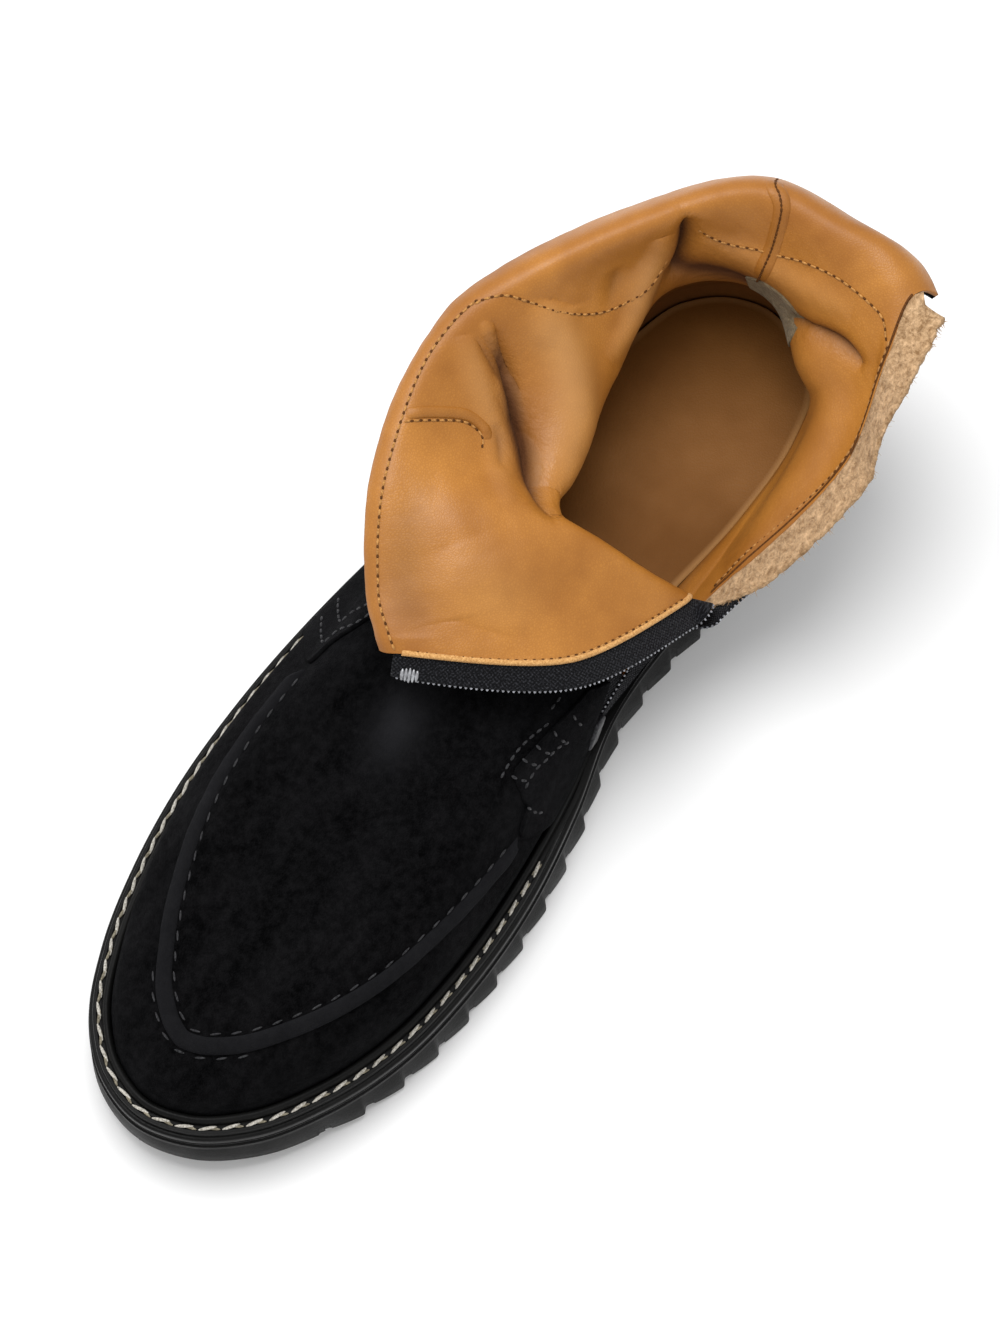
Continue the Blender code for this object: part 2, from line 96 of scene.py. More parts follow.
class Face(Enum):
    """The face of the wall that a seam lies on."""

    OUTER = "outer"
    LINING = "lining"


class Edge(Enum):
    """The two edges of the open zip."""

    FRONT = "front"
    BACK = "back"


def smooth_through(knots: Sequence[float], values: Sequence, at: np.ndarray) -> np.ndarray:
    """A cubic curve through values at uneven knots.

    Args:
        knots: Rising places of the values.
        values: One value or vector for each knot.
        at: Places to read the curve at.

    Returns:
        The curve's value at each place.
    """
    knots = np.asarray(knots, float)
    values = np.asarray(values, float)
    steps = np.diff(knots)
    lifts = np.diff(values, axis=0) / steps.reshape(-1, *[1] * (values.ndim - 1))
    slopes = np.empty_like(values)
    for i in range(1, len(knots) - 1):
        before, after = steps[i - 1], steps[i]
        slopes[i] = (lifts[i - 1] * after + lifts[i] * before) / (before + after)
    slopes[0] = 1.5 * lifts[0] - 0.5 * slopes[1]
    slopes[-1] = 1.5 * lifts[-1] - 0.5 * slopes[-2]
    at = np.asarray(at, float)
    cell = np.clip(np.searchsorted(knots, at, side="right") - 1, 0, len(steps) - 1)
    span = steps[cell]
    t = (at - knots[cell]) / span
    shape = at.shape + (1,) * (values.ndim - 1)
    t, span = t.reshape(shape), span.reshape(shape)
    return (
        values[cell] * (1 + 2 * t) * (1 - t) ** 2
        + values[cell + 1] * t * t * (3 - 2 * t)
        + slopes[cell] * span * t * (1 - t) ** 2
        - slopes[cell + 1] * span * t * t * (1 - t)
    )


def unit(vectors: np.ndarray) -> np.ndarray:
    """Vectors of length one along the last axis."""
    return vectors / np.maximum(np.linalg.norm(vectors, axis=-1, keepdims=True), 1e-9)


def travel_along(points: np.ndarray) -> np.ndarray:
    """Distance from the first point along a line of points."""
    return np.concatenate([[0.0], np.cumsum(np.linalg.norm(np.diff(points, axis=0), axis=1))])


def read_along(at: np.ndarray, knots: np.ndarray, table: np.ndarray) -> np.ndarray:
    """A table read in straight lines between its rows.

    Args:
        at: Places to read at, or one place.
        knots: The rising place of each row.
        table: Rows of values.

    Returns:
        One row of values for each place.
    """
    return np.stack([np.interp(at, knots, column) for column in table.T], axis=-1)


def grid_normals(points: np.ndarray) -> np.ndarray:
    """Outward unit normals of a grid of surface points, rows by columns."""
    return unit(np.cross(np.gradient(points, axis=0), np.gradient(points, axis=1)))


def ripple(points: np.ndarray, length: float, seed: float) -> np.ndarray:
    """A soft uneven wave from -1 to 1 over space, the same on each run.

    Args:
        points: Places in millimetres, any shape ending in 3.
        length: Length of the main wave in millimetres.
        seed: Shifts the wave.

    Returns:
        The wave at each place.
    """
    x, y, z = (points[..., k] / length * 2 * math.pi for k in range(3))
    first = np.sin(0.9 * x + 0.4 * y + seed) * np.sin(0.8 * y - 0.5 * z + 2 * seed)
    second = np.sin(1.9 * z + 1.3 * x + 3 * seed) * np.sin(1.7 * y - 1.1 * x + 5 * seed)
    third = np.sin(3.7 * x - 2.9 * z + 7 * seed) * np.sin(3.1 * y + 2.3 * z + seed)
    return 0.55 * first + 0.3 * second + 0.15 * third


@dataclass(frozen=True)
class Crease:
    """A soft trough or ridge of the upper.

    path holds its places, width is half its width and depth how far it goes out, or in where it is negative.
    sheen_share is how much painted sheen the lining gets where the crease goes in.
    """

    path: tuple[Place, ...]
    width: float
    depth: float
    sheen_share: float = 1.0


@dataclass(frozen=True)
class Last:
    """The sole's outline and profile and the sections of the upper, as the solids have them."""

    midsole_thick: float = 4.5
    insole_thick: float = 3.0
    wall: float = 2.4
    fit_gap: float = 0.3
    # x, lateral, medial, lateral rim, medial rim
    outline: Table = (
        (-38.0, 0.0, 0.0, 5.0, 5.0),
        (-33.5, -16.0, 16.0, 5.0, 5.0),
        (-21.0, -29.0, 30.0, 5.0, 4.5),
        (0.0, -35.5, 36.5, 5.0, 4.5),
        (30.0, -39.0, 36.5, 5.5, 4.0),
        (60.0, -44.0, 33.0, 6.0, 4.0),
        (90.0, -50.0, 33.0, 6.5, 4.0),
        (120.0, -54.0, 41.0, 7.0, 5.5),
        (150.0, -55.5, 46.5, 7.0, 7.0),
        (180.0, -54.0, 47.5, 7.0, 7.0),
        (205.0, -49.5, 45.0, 7.0, 7.0),
        (230.0, -41.5, 37.0, 7.0, 7.0),
        (249.0, -31.0, 26.0, 7.0, 7.0),
        (261.0, -17.0, 12.0, 7.0, 7.0),
        (265.0, -2.0, -2.0, 7.0, 7.0),
    )
    # x, underside, top
    profile: Table = (
        (-38.0, 0.0, 33.5),
        (0.0, 0.0, 32.0),
        (30.0, 0.0, 30.0),
        (65.0, 3.2, 26.5),
        (100.0, 0.0, 22.5),
        (140.0, 0.0, 20.2),
        (185.0, 0.0, 20.0),
        (215.0, 1.8, 21.6),
        (240.0, 5.4, 24.4),
        (265.0, 10.5, 28.2),
    )
    flat_runs: Table = ((-38.0, 30.0), (100.0, 185.0))
    # feather x, side, inset, rise, crown out, crown up, then ankle, fold, funnel, collar and turn points
    stations: Table = (
        (102, 1, -1.5, 10.5, 0, 0, 88, 29, 43, 63, 36.5, 54, 103, 24.5, 73, 130, -13, 82, 130.5, -16, 80.5),
        (186, 1, 6, 27, 0, 3, 92, 22, 56, 69, 24, 68, 99, 8, 81, 127, -18, 85, 128, -19.5, 83),
        (265, 0, 17, 16, 0, -2, 96, 2, 70, 73, 9, 79, 96, -7, 90, 120, -26, 88, 121, -28, 86),
        (186, -1, 10, 27, 0, 2, 91, -16, 66, 74, 0, 81, 87, -21, 94, 102, -38, 97, 103, -40.5, 95),
        (125, -1, 9, 26, 0, 0, 80, -30, 61, 68, -6, 79, 66, -25, 86, 79, -47, 103, 80, -49.5, 101),
        (85, -1, 3, 19, 2, 0, 61, -36, 60, 56, -9, 75, 53, -30, 90, 60, -50, 107, 60, -52.5, 105),
        (45, -1, 0, 13, 3, 0, 36, -33, 59, 29, -16, 74, 33, -31, 95, 40, -46, 110, 39, -51, 106),
        (-8, -1, 0, 13, 3, 0, -5, -29, 62, 0, -19, 79, 0, -22, 98, 6, -29, 112, 1, -34, 105),
        (-38, 0, 0, 13, 3, 0, -32, 0, 63, -14, -1, 81, -19, -3, 99, -25, -7, 112, -31, -9, 105),
        (-14, 1, 0, 13, 2, 0, -16, 28, 58, -12, 25, 77, -20, 23, 96, -31, 19, 109, -37, 21, 102),
        (30, 1, -1, 12, 0, 0, 20, 36, 49, 2, 41, 66, -10, 46, 87, -33, 33, 107, -38, 37, 100),
        (102, 1, -1.5, 6.5, 0, 0, 79, 34.5, 37, 57, 40, 45, 10, 54, 78, -29, 44, 103, -33, 48, 99),
    )
    base_rise: float = 2.1
    base_share: float = 0.11
    bulge_share: float = 0.6
    bulge_out: float = 1.8
    full_rise: float = 27.0
    inward_span: float = 20.0
    zip_foot: float = 1.2
    zip_slit: float = 0.015

    @property
    def places(self) -> int:
        """How many section spans lie between the two zip edges."""
        return len(self.stations) - 1

    def ring(self, rims: float = 0.0, inset: float = 0.0, count: int = 720) -> np.ndarray:
        """The midsole's outline in plan, drawn in by rim widths and an inset.

        Args:
            rims: How many rim widths it is drawn in.
            inset: A further distance in.
            count: How many points go round.

        Returns:
            Points from the heel along the outer side to the toe and back.
        """
        rows = np.array(self.outline)
        loop = np.vstack([rows[:, [0, 1, 3]], rows[-2:0:-1, [0, 2, 4]]])
        wrap = 4
        turned = np.vstack([loop[-wrap:], loop, loop[:wrap + 1]])
        chords = np.concatenate([[0.0], np.cumsum(np.hypot(*np.diff(turned[:, :2], axis=0).T))])
        at = np.linspace(chords[wrap], chords[wrap + len(loop)], count, endpoint=False)
        found = smooth_through(chords, turned, at)
        points, rim = found[:, :2], found[:, 2]
        ahead = unit(np.roll(points, -1, axis=0) - np.roll(points, 1, axis=0))
        inward = np.stack([-ahead[:, 1], ahead[:, 0]], axis=1)
        return points + inward * (rim * rims + inset)[:, None]

    def side(self, x: np.ndarray, which: int, rims: float = 0.0, inset: float = 0.0) -> np.ndarray:
        """How far one side of the outline reaches at places along the foot.

        Args:
            x: Places along the foot.
            which: -1 for the outer side, 1 for the inner.
            rims: Rim widths drawn in.
            inset: A further distance in.

        Returns:
            The reach in Y.
        """
        points = self.ring(rims, inset)
        heel, toe = points[:, 0].argmin(), points[:, 0].argmax()
        turned = np.roll(points, -heel, axis=0)
        toe = (toe - heel) % len(points)
        line = turned[: toe + 1] if which < 0 else np.vstack([turned[:1], turned[: toe - 1 : -1]])
        return np.interp(x, line[:, 0], line[:, 1])

    def underside(self, x: np.ndarray) -> np.ndarray:
        """Height of the tread, with heel and forefoot flat on the floor."""
        rows = np.array(self.profile)
        height = smooth_through(rows[:, 0], rows[:, 1], x)
        for low, high in self.flat_runs:
            height = np.where((x >= low) & (x <= high), 0.0, height)
        return np.maximum(height, 0.0)

    def midsole_top(self, x: np.ndarray) -> np.ndarray:
        """Height of the midsole's top, which the upper stands on."""
        rows = np.array(self.profile)
        return smooth_through(rows[:, 0], rows[:, 2], x)

    def feather(self) -> np.ndarray:
        """The feather line in plan from the foot of the zip over the toe and back again."""
        loop = self.ring(1.0, 0.0, 1440)[::-1]
        start = np.where(loop[:, 1] > 0, np.abs(loop[:, 0] - self.stations[0][0]), 1e9).argmin()
        loop = np.roll(loop, -start, axis=0)
        return np.vstack([loop, loop[:1]])

    def marks(self, loop: np.ndarray, travel: np.ndarray) -> list[float]:
        """How far along the feather line each section starts."""
        marks = [0.0]
        for x, side in (row[:2] for row in self.stations[1:-1]):
            if side == 0:
                found = loop[:, 0].argmax() if x > 0 else loop[:, 0].argmin()
            else:
                found = np.where(loop[:, 1] * side > 0, np.abs(loop[:, 0] - x), 1e9).argmin()
            marks.append(travel[found])
        return marks + [travel[-1]]

    def control(self, u: np.ndarray) -> np.ndarray:
        """The twelve control rows of the upper at section places.

        Args:
            u: Section places.

        Returns:
            Points, control rows by places.
        """
        loop = self.feather()
        travel = travel_along(loop)
        table = np.array(self.stations, float)
        names = np.arange(len(table))
        read = smooth_through(names, table, u)
        at = smooth_through(names, self.marks(loop, travel), u)

        def plan_at(shift: float) -> np.ndarray:
            """The feather line a little way on."""
            return read_along((at + shift) % travel[-1], travel, loop)

        plan = read_along(at, travel, loop)
        run = unit(plan_at(self.inward_span) - plan_at(-self.inward_span))
        inward = np.stack([run[:, 1], -run[:, 0]], axis=1)
        floor = self.midsole_top(plan[:, 0]) + self.fit_gap
        inset, rise, crown_out, crown_up = read[:, 2], read[:, 3], read[:, 4], read[:, 5]
        bulge = self.bulge_out * np.clip(rise / self.full_rise, 0.0, 1.0)

        def wall(reach: np.ndarray, height: np.ndarray) -> np.ndarray:
            """A row of the side wall."""
            return np.column_stack([plan + inward * reach[:, None], floor + height])

        ridge, ankle = wall(inset, rise), read[:, 6:9]
        rows = [
            wall(0.0 * rise, 0.0 * rise),
            wall(-0.1 * bulge, self.base_rise + self.base_share * rise),
            wall(0.2 * inset - bulge, self.bulge_share * rise),
            ridge,
        ]
        crown = np.column_stack([-inward * crown_out[:, None], crown_up])
        for share in (0.25, 0.5, 0.75):
            rows.append(ridge * (1 - share) + ankle * share + crown * 4 * share * (1 - share))
        rows += [ankle, read[:, 9:12], read[:, 12:15], read[:, 15:18], read[:, 18:21]]
        return np.array(rows)

    def columns(self, rows: np.ndarray, u: np.ndarray) -> np.ndarray:
        """Points of the upper, each section place with its own rows.

        Args:
            rows: Rows by places.
            u: Section places.

        Returns:
            Points, rows by places.
        """
        control = self.control(u)
        steps = np.linalg.norm(np.diff(control, axis=0), axis=2) ** 0.5
        knots = np.concatenate([np.zeros((1, len(u))), np.cumsum(np.maximum(steps, 0.1), axis=0)])
        points = np.empty(rows.shape + (3,))
        for i in range(len(u)):
            at = np.interp(rows[:, i], np.arange(len(control)), knots[:, i])
            points[:, i] = smooth_through(knots[:, i], control[:, i], at)
        return points

    def surface(self, rows: np.ndarray, u: np.ndarray) -> np.ndarray:
        """Points of the upper's outer face on a grid of rows and section places."""
        rows, u = np.asarray(rows, float), np.asarray(u, float)
        return self.columns(np.repeat(rows[:, None], len(u), axis=1), u)


@dataclass
class Wall:
    """The wall of the upper with its creases, which every piece on it is laid on."""

    last: Last
    creases: tuple[Crease, ...]
    wave: float = 0.22
    wave_length: float = 26.0
    edge_calm: float = 0.18
    calm_row: float = 3.4
    crease_steps: int = 110
    lines: list[np.ndarray] = field(init=False)

    def __post_init__(self) -> None:
        """Lays every crease on the bare wall once."""
        self.lines = []
        for crease in self.creases:
            places, heights = self.path_points(crease.path, self.crease_steps)
            self.lines.append(self.last.columns(heights[None, :], places)[0])

    def path_points(self, path: Sequence[Place], count: int) -> tuple[np.ndarray, np.ndarray]:
        """Evenly counted places along a path of places.

        Args:
            path: Section places and rows.
            count: How many places.

        Returns:
            The section places and the rows.
        """
        knots = np.arange(len(path))
        table = np.array(path, float)
        at = np.linspace(0, len(path) - 1, count)
        if len(path) > 2:
            found = smooth_through(knots, table, at)
        else:
            found = read_along(at, knots, table)
        return found[:, 0], found[:, 1]

    def bells(self, bare: np.ndarray) -> Iterator[tuple[Crease, np.ndarray, np.ndarray]]:
        """The share of its depth that each crease has at each point.

        Args:
            bare: Points of the surface without creases, rows by places.

        Yields:
            The crease, the mask of the points near it and its share at those points.
        """
        for crease, line in zip(self.creases, self.lines):
            reach = 3.0 * crease.width
            near = np.all((bare > line.min(axis=0) - reach) & (bare < line.max(axis=0) + reach), axis=-1)
            if not near.any():
                continue
            gaps = np.linalg.norm(bare[near][:, None] - line[None], axis=2)
            share = gaps.argmin(axis=1) / (len(line) - 1)
            taper = np.clip(4.2 * share * (1 - share), 0.0, 1.0) ** 0.7
            width = crease.width * (0.55 + 0.45 * taper)
            yield crease, near, taper * np.exp(-((gaps.min(axis=1) / width) ** 2))

    def lift(self, rows: np.ndarray, u: np.ndarray, bare: np.ndarray) -> np.ndarray:
        """How far the creases move the surface outward.

        Args:
            rows: Rows by places.
            u: Section places.
            bare: Points of the surface without creases, rows by places.

        Returns:
            The move in millimetres, rows by places.
        """
        across = np.repeat(u[None, :], rows.shape[0], axis=0)
        move = np.zeros(rows.shape)
        for crease, near, bell in self.bells(bare):
            move[near] += crease.depth * bell
        calm = np.clip(rows - self.calm_row, 0.0, 1.0)
        move += self.wave * calm * ripple(bare, self.wave_length, 0.7)
        rim = np.minimum(across, self.last.places - across)
        return move * np.clip(rim / self.edge_calm, 0.0, 1.0)

    def masks(self, bare: np.ndarray) -> dict[str, np.ndarray]:
        """What the creases do to the lining's look, each from 0 to 1.

        Args:
            bare: Points of the surface without creases, rows by places.

        Returns:
            The painted shade of the troughs, the painted sheen of the ridges and the crumple round the deep folds.
        """
        fold, painted_sheen, crumple = (np.zeros(bare.shape[:-1]) for _ in range(3))
        for crease, near, bell in self.bells(bare):
            fold[near] += max(crease.depth, 0.0) / 3.0 * bell**1.5
            painted_sheen[near] += min(max(-crease.depth, 0.0), 3.2) / 3.0 * bell * crease.sheen_share
            if crease.depth > 3.0:
                crumple[near] = np.maximum(crumple[near], np.clip(1.3 * bell**0.45, 0.0, 1.0))
        return {"fold": np.clip(fold, 0.0, 1.0), "painted_sheen": np.clip(painted_sheen, 0.0, 1.0), "crumple": crumple}

    def points(self, rows: np.ndarray, u: np.ndarray) -> np.ndarray:
        """Points of the creased outer face, each section place with its own rows."""
        bare = self.last.columns(rows, u)
        normals = grid_normals(bare)
        return bare + normals * self.lift(rows, u, bare)[:, :, None]

    def patch(self, rows: np.ndarray, u: np.ndarray, depth: float) -> np.ndarray:
        """Points at a depth under the creased outer face, with the folds kept open."""
        outer = self.points(rows, u)
        normals = grid_normals(outer)
        for _ in range(3):
            mean = normals.copy()
            mean[1:-1] += normals[2:] + normals[:-2]
            mean[:, 1:-1] += normals[:, 2:] + normals[:, :-2]
            normals = unit(mean)
        return outer - normals * depth

    def along(self, path: Sequence[Place], depth: float, count: int = 160) -> tuple[np.ndarray, np.ndarray]:
        """A line on the wall and its outward normals.

        Args:
            path: Section places and rows.
            depth: Depth under the outer face.
            count: How many points.

        Returns:
            The points and the normals.
        """
        places, heights = self.path_points(path, count)
        step = 0.012
        trio = np.stack([heights - step, heights, heights + step])
        lines = []
        for shift in (-step, 0.0, step):
            at = np.clip(places + shift, self.last.zip_slit, self.last.places - self.last.zip_slit)
            lines.append(self.last.columns(trio, at))
        normal = unit(np.cross(lines[1][2] - lines[1][0], lines[2][1] - lines[0][1]))
        bare = lines[1][1]
        move = self.lift(heights[None, :], places, bare[None])[0]
        return bare + normal * (move - depth)[:, None], normal


# Finishes
class Bench:
    """Places and links the nodes of one shader tree."""

    def __init__(self, tree: bpy.types.NodeTree) -> None:
        """Starts on an empty tree."""
        self.tree = tree

    def node(self, kind: str, inputs: Optional[dict] = None, **settings) -> bpy.types.Node:
        """Adds a node.

        Args:
            kind: The node's type name.
            inputs: Values or sockets for its inputs.
            settings: Its own settings.

        Returns:
            The node.
        """
        node = self.tree.nodes.new(kind)
        for name, value in settings.items():
            setattr(node, name, value)
        for name, value in (inputs or {}).items():
            self.feed(node.inputs[name], value)
        return node

    def feed(self, socket: bpy.types.NodeSocket, value: Feed) -> None:
        """Links a socket, or sets its value."""
        if isinstance(value, bpy.types.NodeSocket):
            self.tree.links.new(value, socket)
        else:
            socket.default_value = value

    def maths(self, operation: str, first: Feed, second: Feed = 0.0, clamp: bool = False) -> bpy.types.NodeSocket:
        """One sum of two values."""
        node = self.node("ShaderNodeMath", {0: first, 1: second}, operation=operation, use_clamp=clamp)
        return node.outputs[0]

    def weighted(self, first: Feed, share: float, second: Feed, other: float) -> bpy.types.NodeSocket:
        """The sum of two values, each times its own share."""
        parts = [self.maths("MULTIPLY", value, part) for value, part in ((first, share), (second, other))]
        return self.maths("ADD", *parts)

    def warped(self, vector: Feed, scale: float, detail: float, reach: float) -> bpy.types.NodeSocket:
        """Coordinates moved about by a noise, up to a reach in metres."""
        warp = self.node("ShaderNodeTexNoise", {"Vector": vector, "Scale": scale, "Detail": detail})
        shift = self.node("ShaderNodeVectorMath", {0: warp.outputs["Color"], 1: (reach,) * 3}, operation="MULTIPLY")
        return self.node("ShaderNodeVectorMath", {0: vector, 1: shift.outputs[0]}, operation="ADD").outputs[0]

    def span(self, value: Feed, low: float, high: float, to_low: float = 0.0,
             to_high: float = 1.0) -> bpy.types.NodeSocket:
        """A value carried from one span to another, held at its ends."""
        found = {"Value": value, "From Min": low, "From Max": high, "To Min": to_low, "To Max": to_high}
        return self.node("ShaderNodeMapRange", found, clamp=True).outputs["Result"]

    def mix(self, share: Feed, first: Feed, second: Feed) -> bpy.types.NodeSocket:
        """A mix of two colours."""
        node = self.node("ShaderNodeMix", data_type="RGBA")
        self.feed(node.inputs[0], share)
        self.feed(node.inputs[6], first)
        self.feed(node.inputs[7], second)
        return node.outputs[2]

    def noise(self, vector: Feed, scale: Feed, detail: float = 3.0, rough: float = 0.55) -> bpy.types.NodeSocket:
        """A noise from 0 to 1."""
        inputs = {"Vector": vector, "Scale": scale, "Detail": detail, "Roughness": rough}
        return self.node("ShaderNodeTexNoise", inputs).outputs[0]

    def placed(self, tree: bpy.types.NodeTree, inputs: dict) -> bpy.types.Node:
        """Places a node group and feeds it."""
        node = self.tree.nodes.new("ShaderNodeGroup")
        node.node_tree = tree
        for name, value in inputs.items():
            self.feed(node.inputs[name], value)
        return node


def new_group(name: str, inputs: dict[str, str],
              outputs: dict[str, str]) -> tuple[bpy.types.NodeTree, Bench, bpy.types.Node, bpy.types.Node]:
    """Starts a shader node group.

    Args:
        name: Its name.
        inputs: Socket kinds by name.
        outputs: Socket kinds by name.

    Returns:
        The tree, its bench, its input node and its output node.
    """
    tree = bpy.data.node_groups.new(name, "ShaderNodeTree")
    for in_out, sockets in (("INPUT", inputs), ("OUTPUT", outputs)):
        for label, kind in sockets.items():
            tree.interface.new_socket(label, in_out=in_out, socket_type=kind)
    bench = Bench(tree)
    return tree, bench, bench.node("NodeGroupInput"), bench.node("NodeGroupOutput")


FLOAT, VECTOR = "NodeSocketFloat", "NodeSocketVector"


@dataclass
class Effects:
    """The effects that more than one finish uses, each built once."""

    grain: bpy.types.NodeTree = field(init=False)
    nap: bpy.types.NodeTree = field(init=False)
    mottle: bpy.types.NodeTree = field(init=False)
    fibres: bpy.types.NodeTree = field(init=False)
    weave: bpy.types.NodeTree = field(init=False)

    def __post_init__(self) -> None:
        """Builds the groups."""
        self.grain = self.build_grain()
        self.nap = self.build_nap()
        self.mottle = self.build_mottle()
        self.fibres = self.build_fibres()
        self.weave = self.build_weave()

    def build_grain(self) -> bpy.types.NodeTree:
        """Pebbled leather grain with fine pores."""
        inputs, outputs = {"Vector": VECTOR, "Scale": FLOAT}, {"Height": FLOAT, "Pores": FLOAT}
        tree, bench, given, out = new_group("leather_grain", inputs, outputs)
        where = given.outputs["Vector"]
        feeds = {"Vector": bench.warped(where, 260.0, 2.0, 0.0016), "Scale": given.outputs["Scale"]}
        cells = bench.node("ShaderNodeTexVoronoi", feeds, feature="DISTANCE_TO_EDGE")
        domes = bench.span(cells.outputs["Distance"], 0.0, 0.28)
        fine = bench.noise(where, 2600.0, 2.0)
        bench.feed(out.inputs["Height"], bench.weighted(domes, 0.7, fine, 0.3))
        bench.feed(out.inputs["Pores"], bench.maths("SUBTRACT", 1.0, domes))
        return tree

    def build_nap(self) -> bpy.types.NodeTree:
        """The nap of suede: short fibres that lie in brushed patches."""
        inputs, outputs = {"Vector": VECTOR, "Brush": FLOAT}, {"Height": FLOAT, "Shade": FLOAT}
        tree, bench, given, out = new_group("suede_nap", inputs, outputs)
        where = given.outputs["Vector"]
        feeds = {"Vector": where, "Rotation": (0.3, 0.2, 0.7), "Scale": (1.0, 2.6, 1.7)}
        stretch = bench.node("ShaderNodeMapping", feeds).outputs[0]
        hair = bench.noise(stretch, 1500.0, 4.0, 0.7)
        tuft = bench.noise(where, 420.0, 3.0, 0.6)
        brushed = bench.noise(stretch, given.outputs["Brush"], 2.0, 0.5)
        height = bench.weighted(hair, 0.65, tuft, 0.35)
        broad = bench.span(brushed, 0.35, 0.72)
        fine = bench.span(bench.weighted(tuft, 0.5, hair, 0.5), 0.42, 0.62)
        bench.feed(out.inputs["Height"], height)
        bench.feed(out.inputs["Shade"], bench.weighted(broad, 0.4, fine, 0.6))
        return tree

    def build_mottle(self) -> bpy.types.NodeTree:
        """Broad uneven colour of a dyed hide."""
        tree, bench, given, out = new_group("hide_mottle", {"Vector": VECTOR, "Scale": FLOAT}, {"Mask": FLOAT})
        broad = bench.noise(given.outputs["Vector"], given.outputs["Scale"], 3.0, 0.55)
        bench.feed(out.inputs["Mask"], bench.span(broad, 0.32, 0.68))
        return tree

    def build_fibres(self) -> bpy.types.NodeTree:
        """The matted fibres of a rough-out leather."""
        tree, bench, given, out = new_group("split_fibres", {"Vector": VECTOR}, {"Height": FLOAT, "Tone": FLOAT})
        where = given.outputs["Vector"]
        threads = bench.noise(bench.warped(where, 300.0, 3.0, 0.004), 900.0, 5.0, 0.75)
        lumps = bench.noise(where, 400.0, 4.0, 0.65)
        tone = bench.maths("ADD", threads, bench.maths("MULTIPLY", lumps, 0.8))
        bench.feed(out.inputs["Height"], bench.weighted(threads, 0.6, lumps, 0.6))
        bench.feed(out.inputs["Tone"], bench.span(tone, 0.7, 1.15))
        return tree

    def build_weave(self) -> bpy.types.NodeTree:
        """A plain weave over a flat map in millimetres."""
        inputs, outputs = {"Vector": VECTOR, "Pitch": FLOAT}, {"Height": FLOAT, "Specks": FLOAT}
        tree, bench, given, out = new_group("tape_weave", inputs, outputs)
        parts = bench.node("ShaderNodeSeparateXYZ", {"Vector": given.outputs["Vector"]})
        pace = bench.maths("DIVIDE", 2 * math.pi, given.outputs["Pitch"])
        waves = [bench.maths("SINE", bench.maths("MULTIPLY", parts.outputs[k], pace)) for k in ("X", "Y")]
        crossed = bench.maths("MULTIPLY", waves[0], waves[1])
        rough = bench.noise(given.outputs["Vector"], 1.7, 3.0, 0.7)
        bench.feed(out.inputs["Height"], bench.maths("ADD", bench.maths("MULTIPLY", crossed, 0.35), rough))
        specks = bench.maths("ADD", rough, bench.maths("MULTIPLY", crossed, 0.1))
        bench.feed(out.inputs["Specks"], bench.span(specks, 0.5, 0.72))
        return tree


@dataclass(frozen=True)
class Finish:
    """One finish: two tones that its pattern mixes, and the plain numbers of its shader."""

    name: str
    dark: tuple[float, float, float]
    light: tuple[float, float, float]
    rough: tuple[float, float]
    bump: float
    specular: float = 0.5
    sheen: float = 0.0
    sheen_rough: float = 0.5
    sheen_tint: tuple[float, float, float] = (1.0, 1.0, 1.0)
    metallic: float = 0.0

    def shader(self) -> tuple[bpy.types.Material, Bench, bpy.types.Node]:
        """A new material with its plain numbers set.

        Returns:
            The material, its bench and its Principled node.
        """
        material = bpy.data.materials.new(self.name)
        material.use_nodes = True
        bench = Bench(material.node_tree)
        shader = material.node_tree.nodes["Principled BSDF"]
        shader.inputs["Specular IOR Level"].default_value = self.specular
        shader.inputs["Sheen Weight"].default_value = self.sheen
        shader.inputs["Sheen Roughness"].default_value = self.sheen_rough
        shader.inputs["Sheen Tint"].default_value = (*self.sheen_tint, 1.0)
        shader.inputs["Metallic"].default_value = self.metallic
        return material, bench, shader

    def finish(self, bench: Bench, shader: bpy.types.Node, tone: Feed, height: Feed, rough: Feed,
               distance: float) -> None:
        """Links colour, roughness and bump.

        Args:
            bench: The material's bench.
            shader: Its Principled node.
            tone: The colour socket.
            height: The height socket for the bump.
            rough: The roughness socket.
            distance: Height of the bump in metres.
        """
        bench.feed(shader.inputs["Base Color"], tone)
        bench.feed(shader.inputs["Roughness"], rough)
        bump = bench.node("ShaderNodeBump", {"Height": height, "Strength": self.bump, "Distance": distance})
        bench.feed(shader.inputs["Normal"], bump.outputs["Normal"])

    def tones(self) -> tuple[tuple[float, ...], tuple[float, ...]]:
        """Both tones with alpha."""
        return (*self.dark, 1.0), (*self.light, 1.0)

    def roughness(self, bench: Bench, shade: Feed) -> bpy.types.NodeSocket:
        """Roughness from a mask: rough where it is 0 and smoother where it is 1."""
        return bench.span(shade, 0.0, 1.0, self.rough[1], self.rough[0])


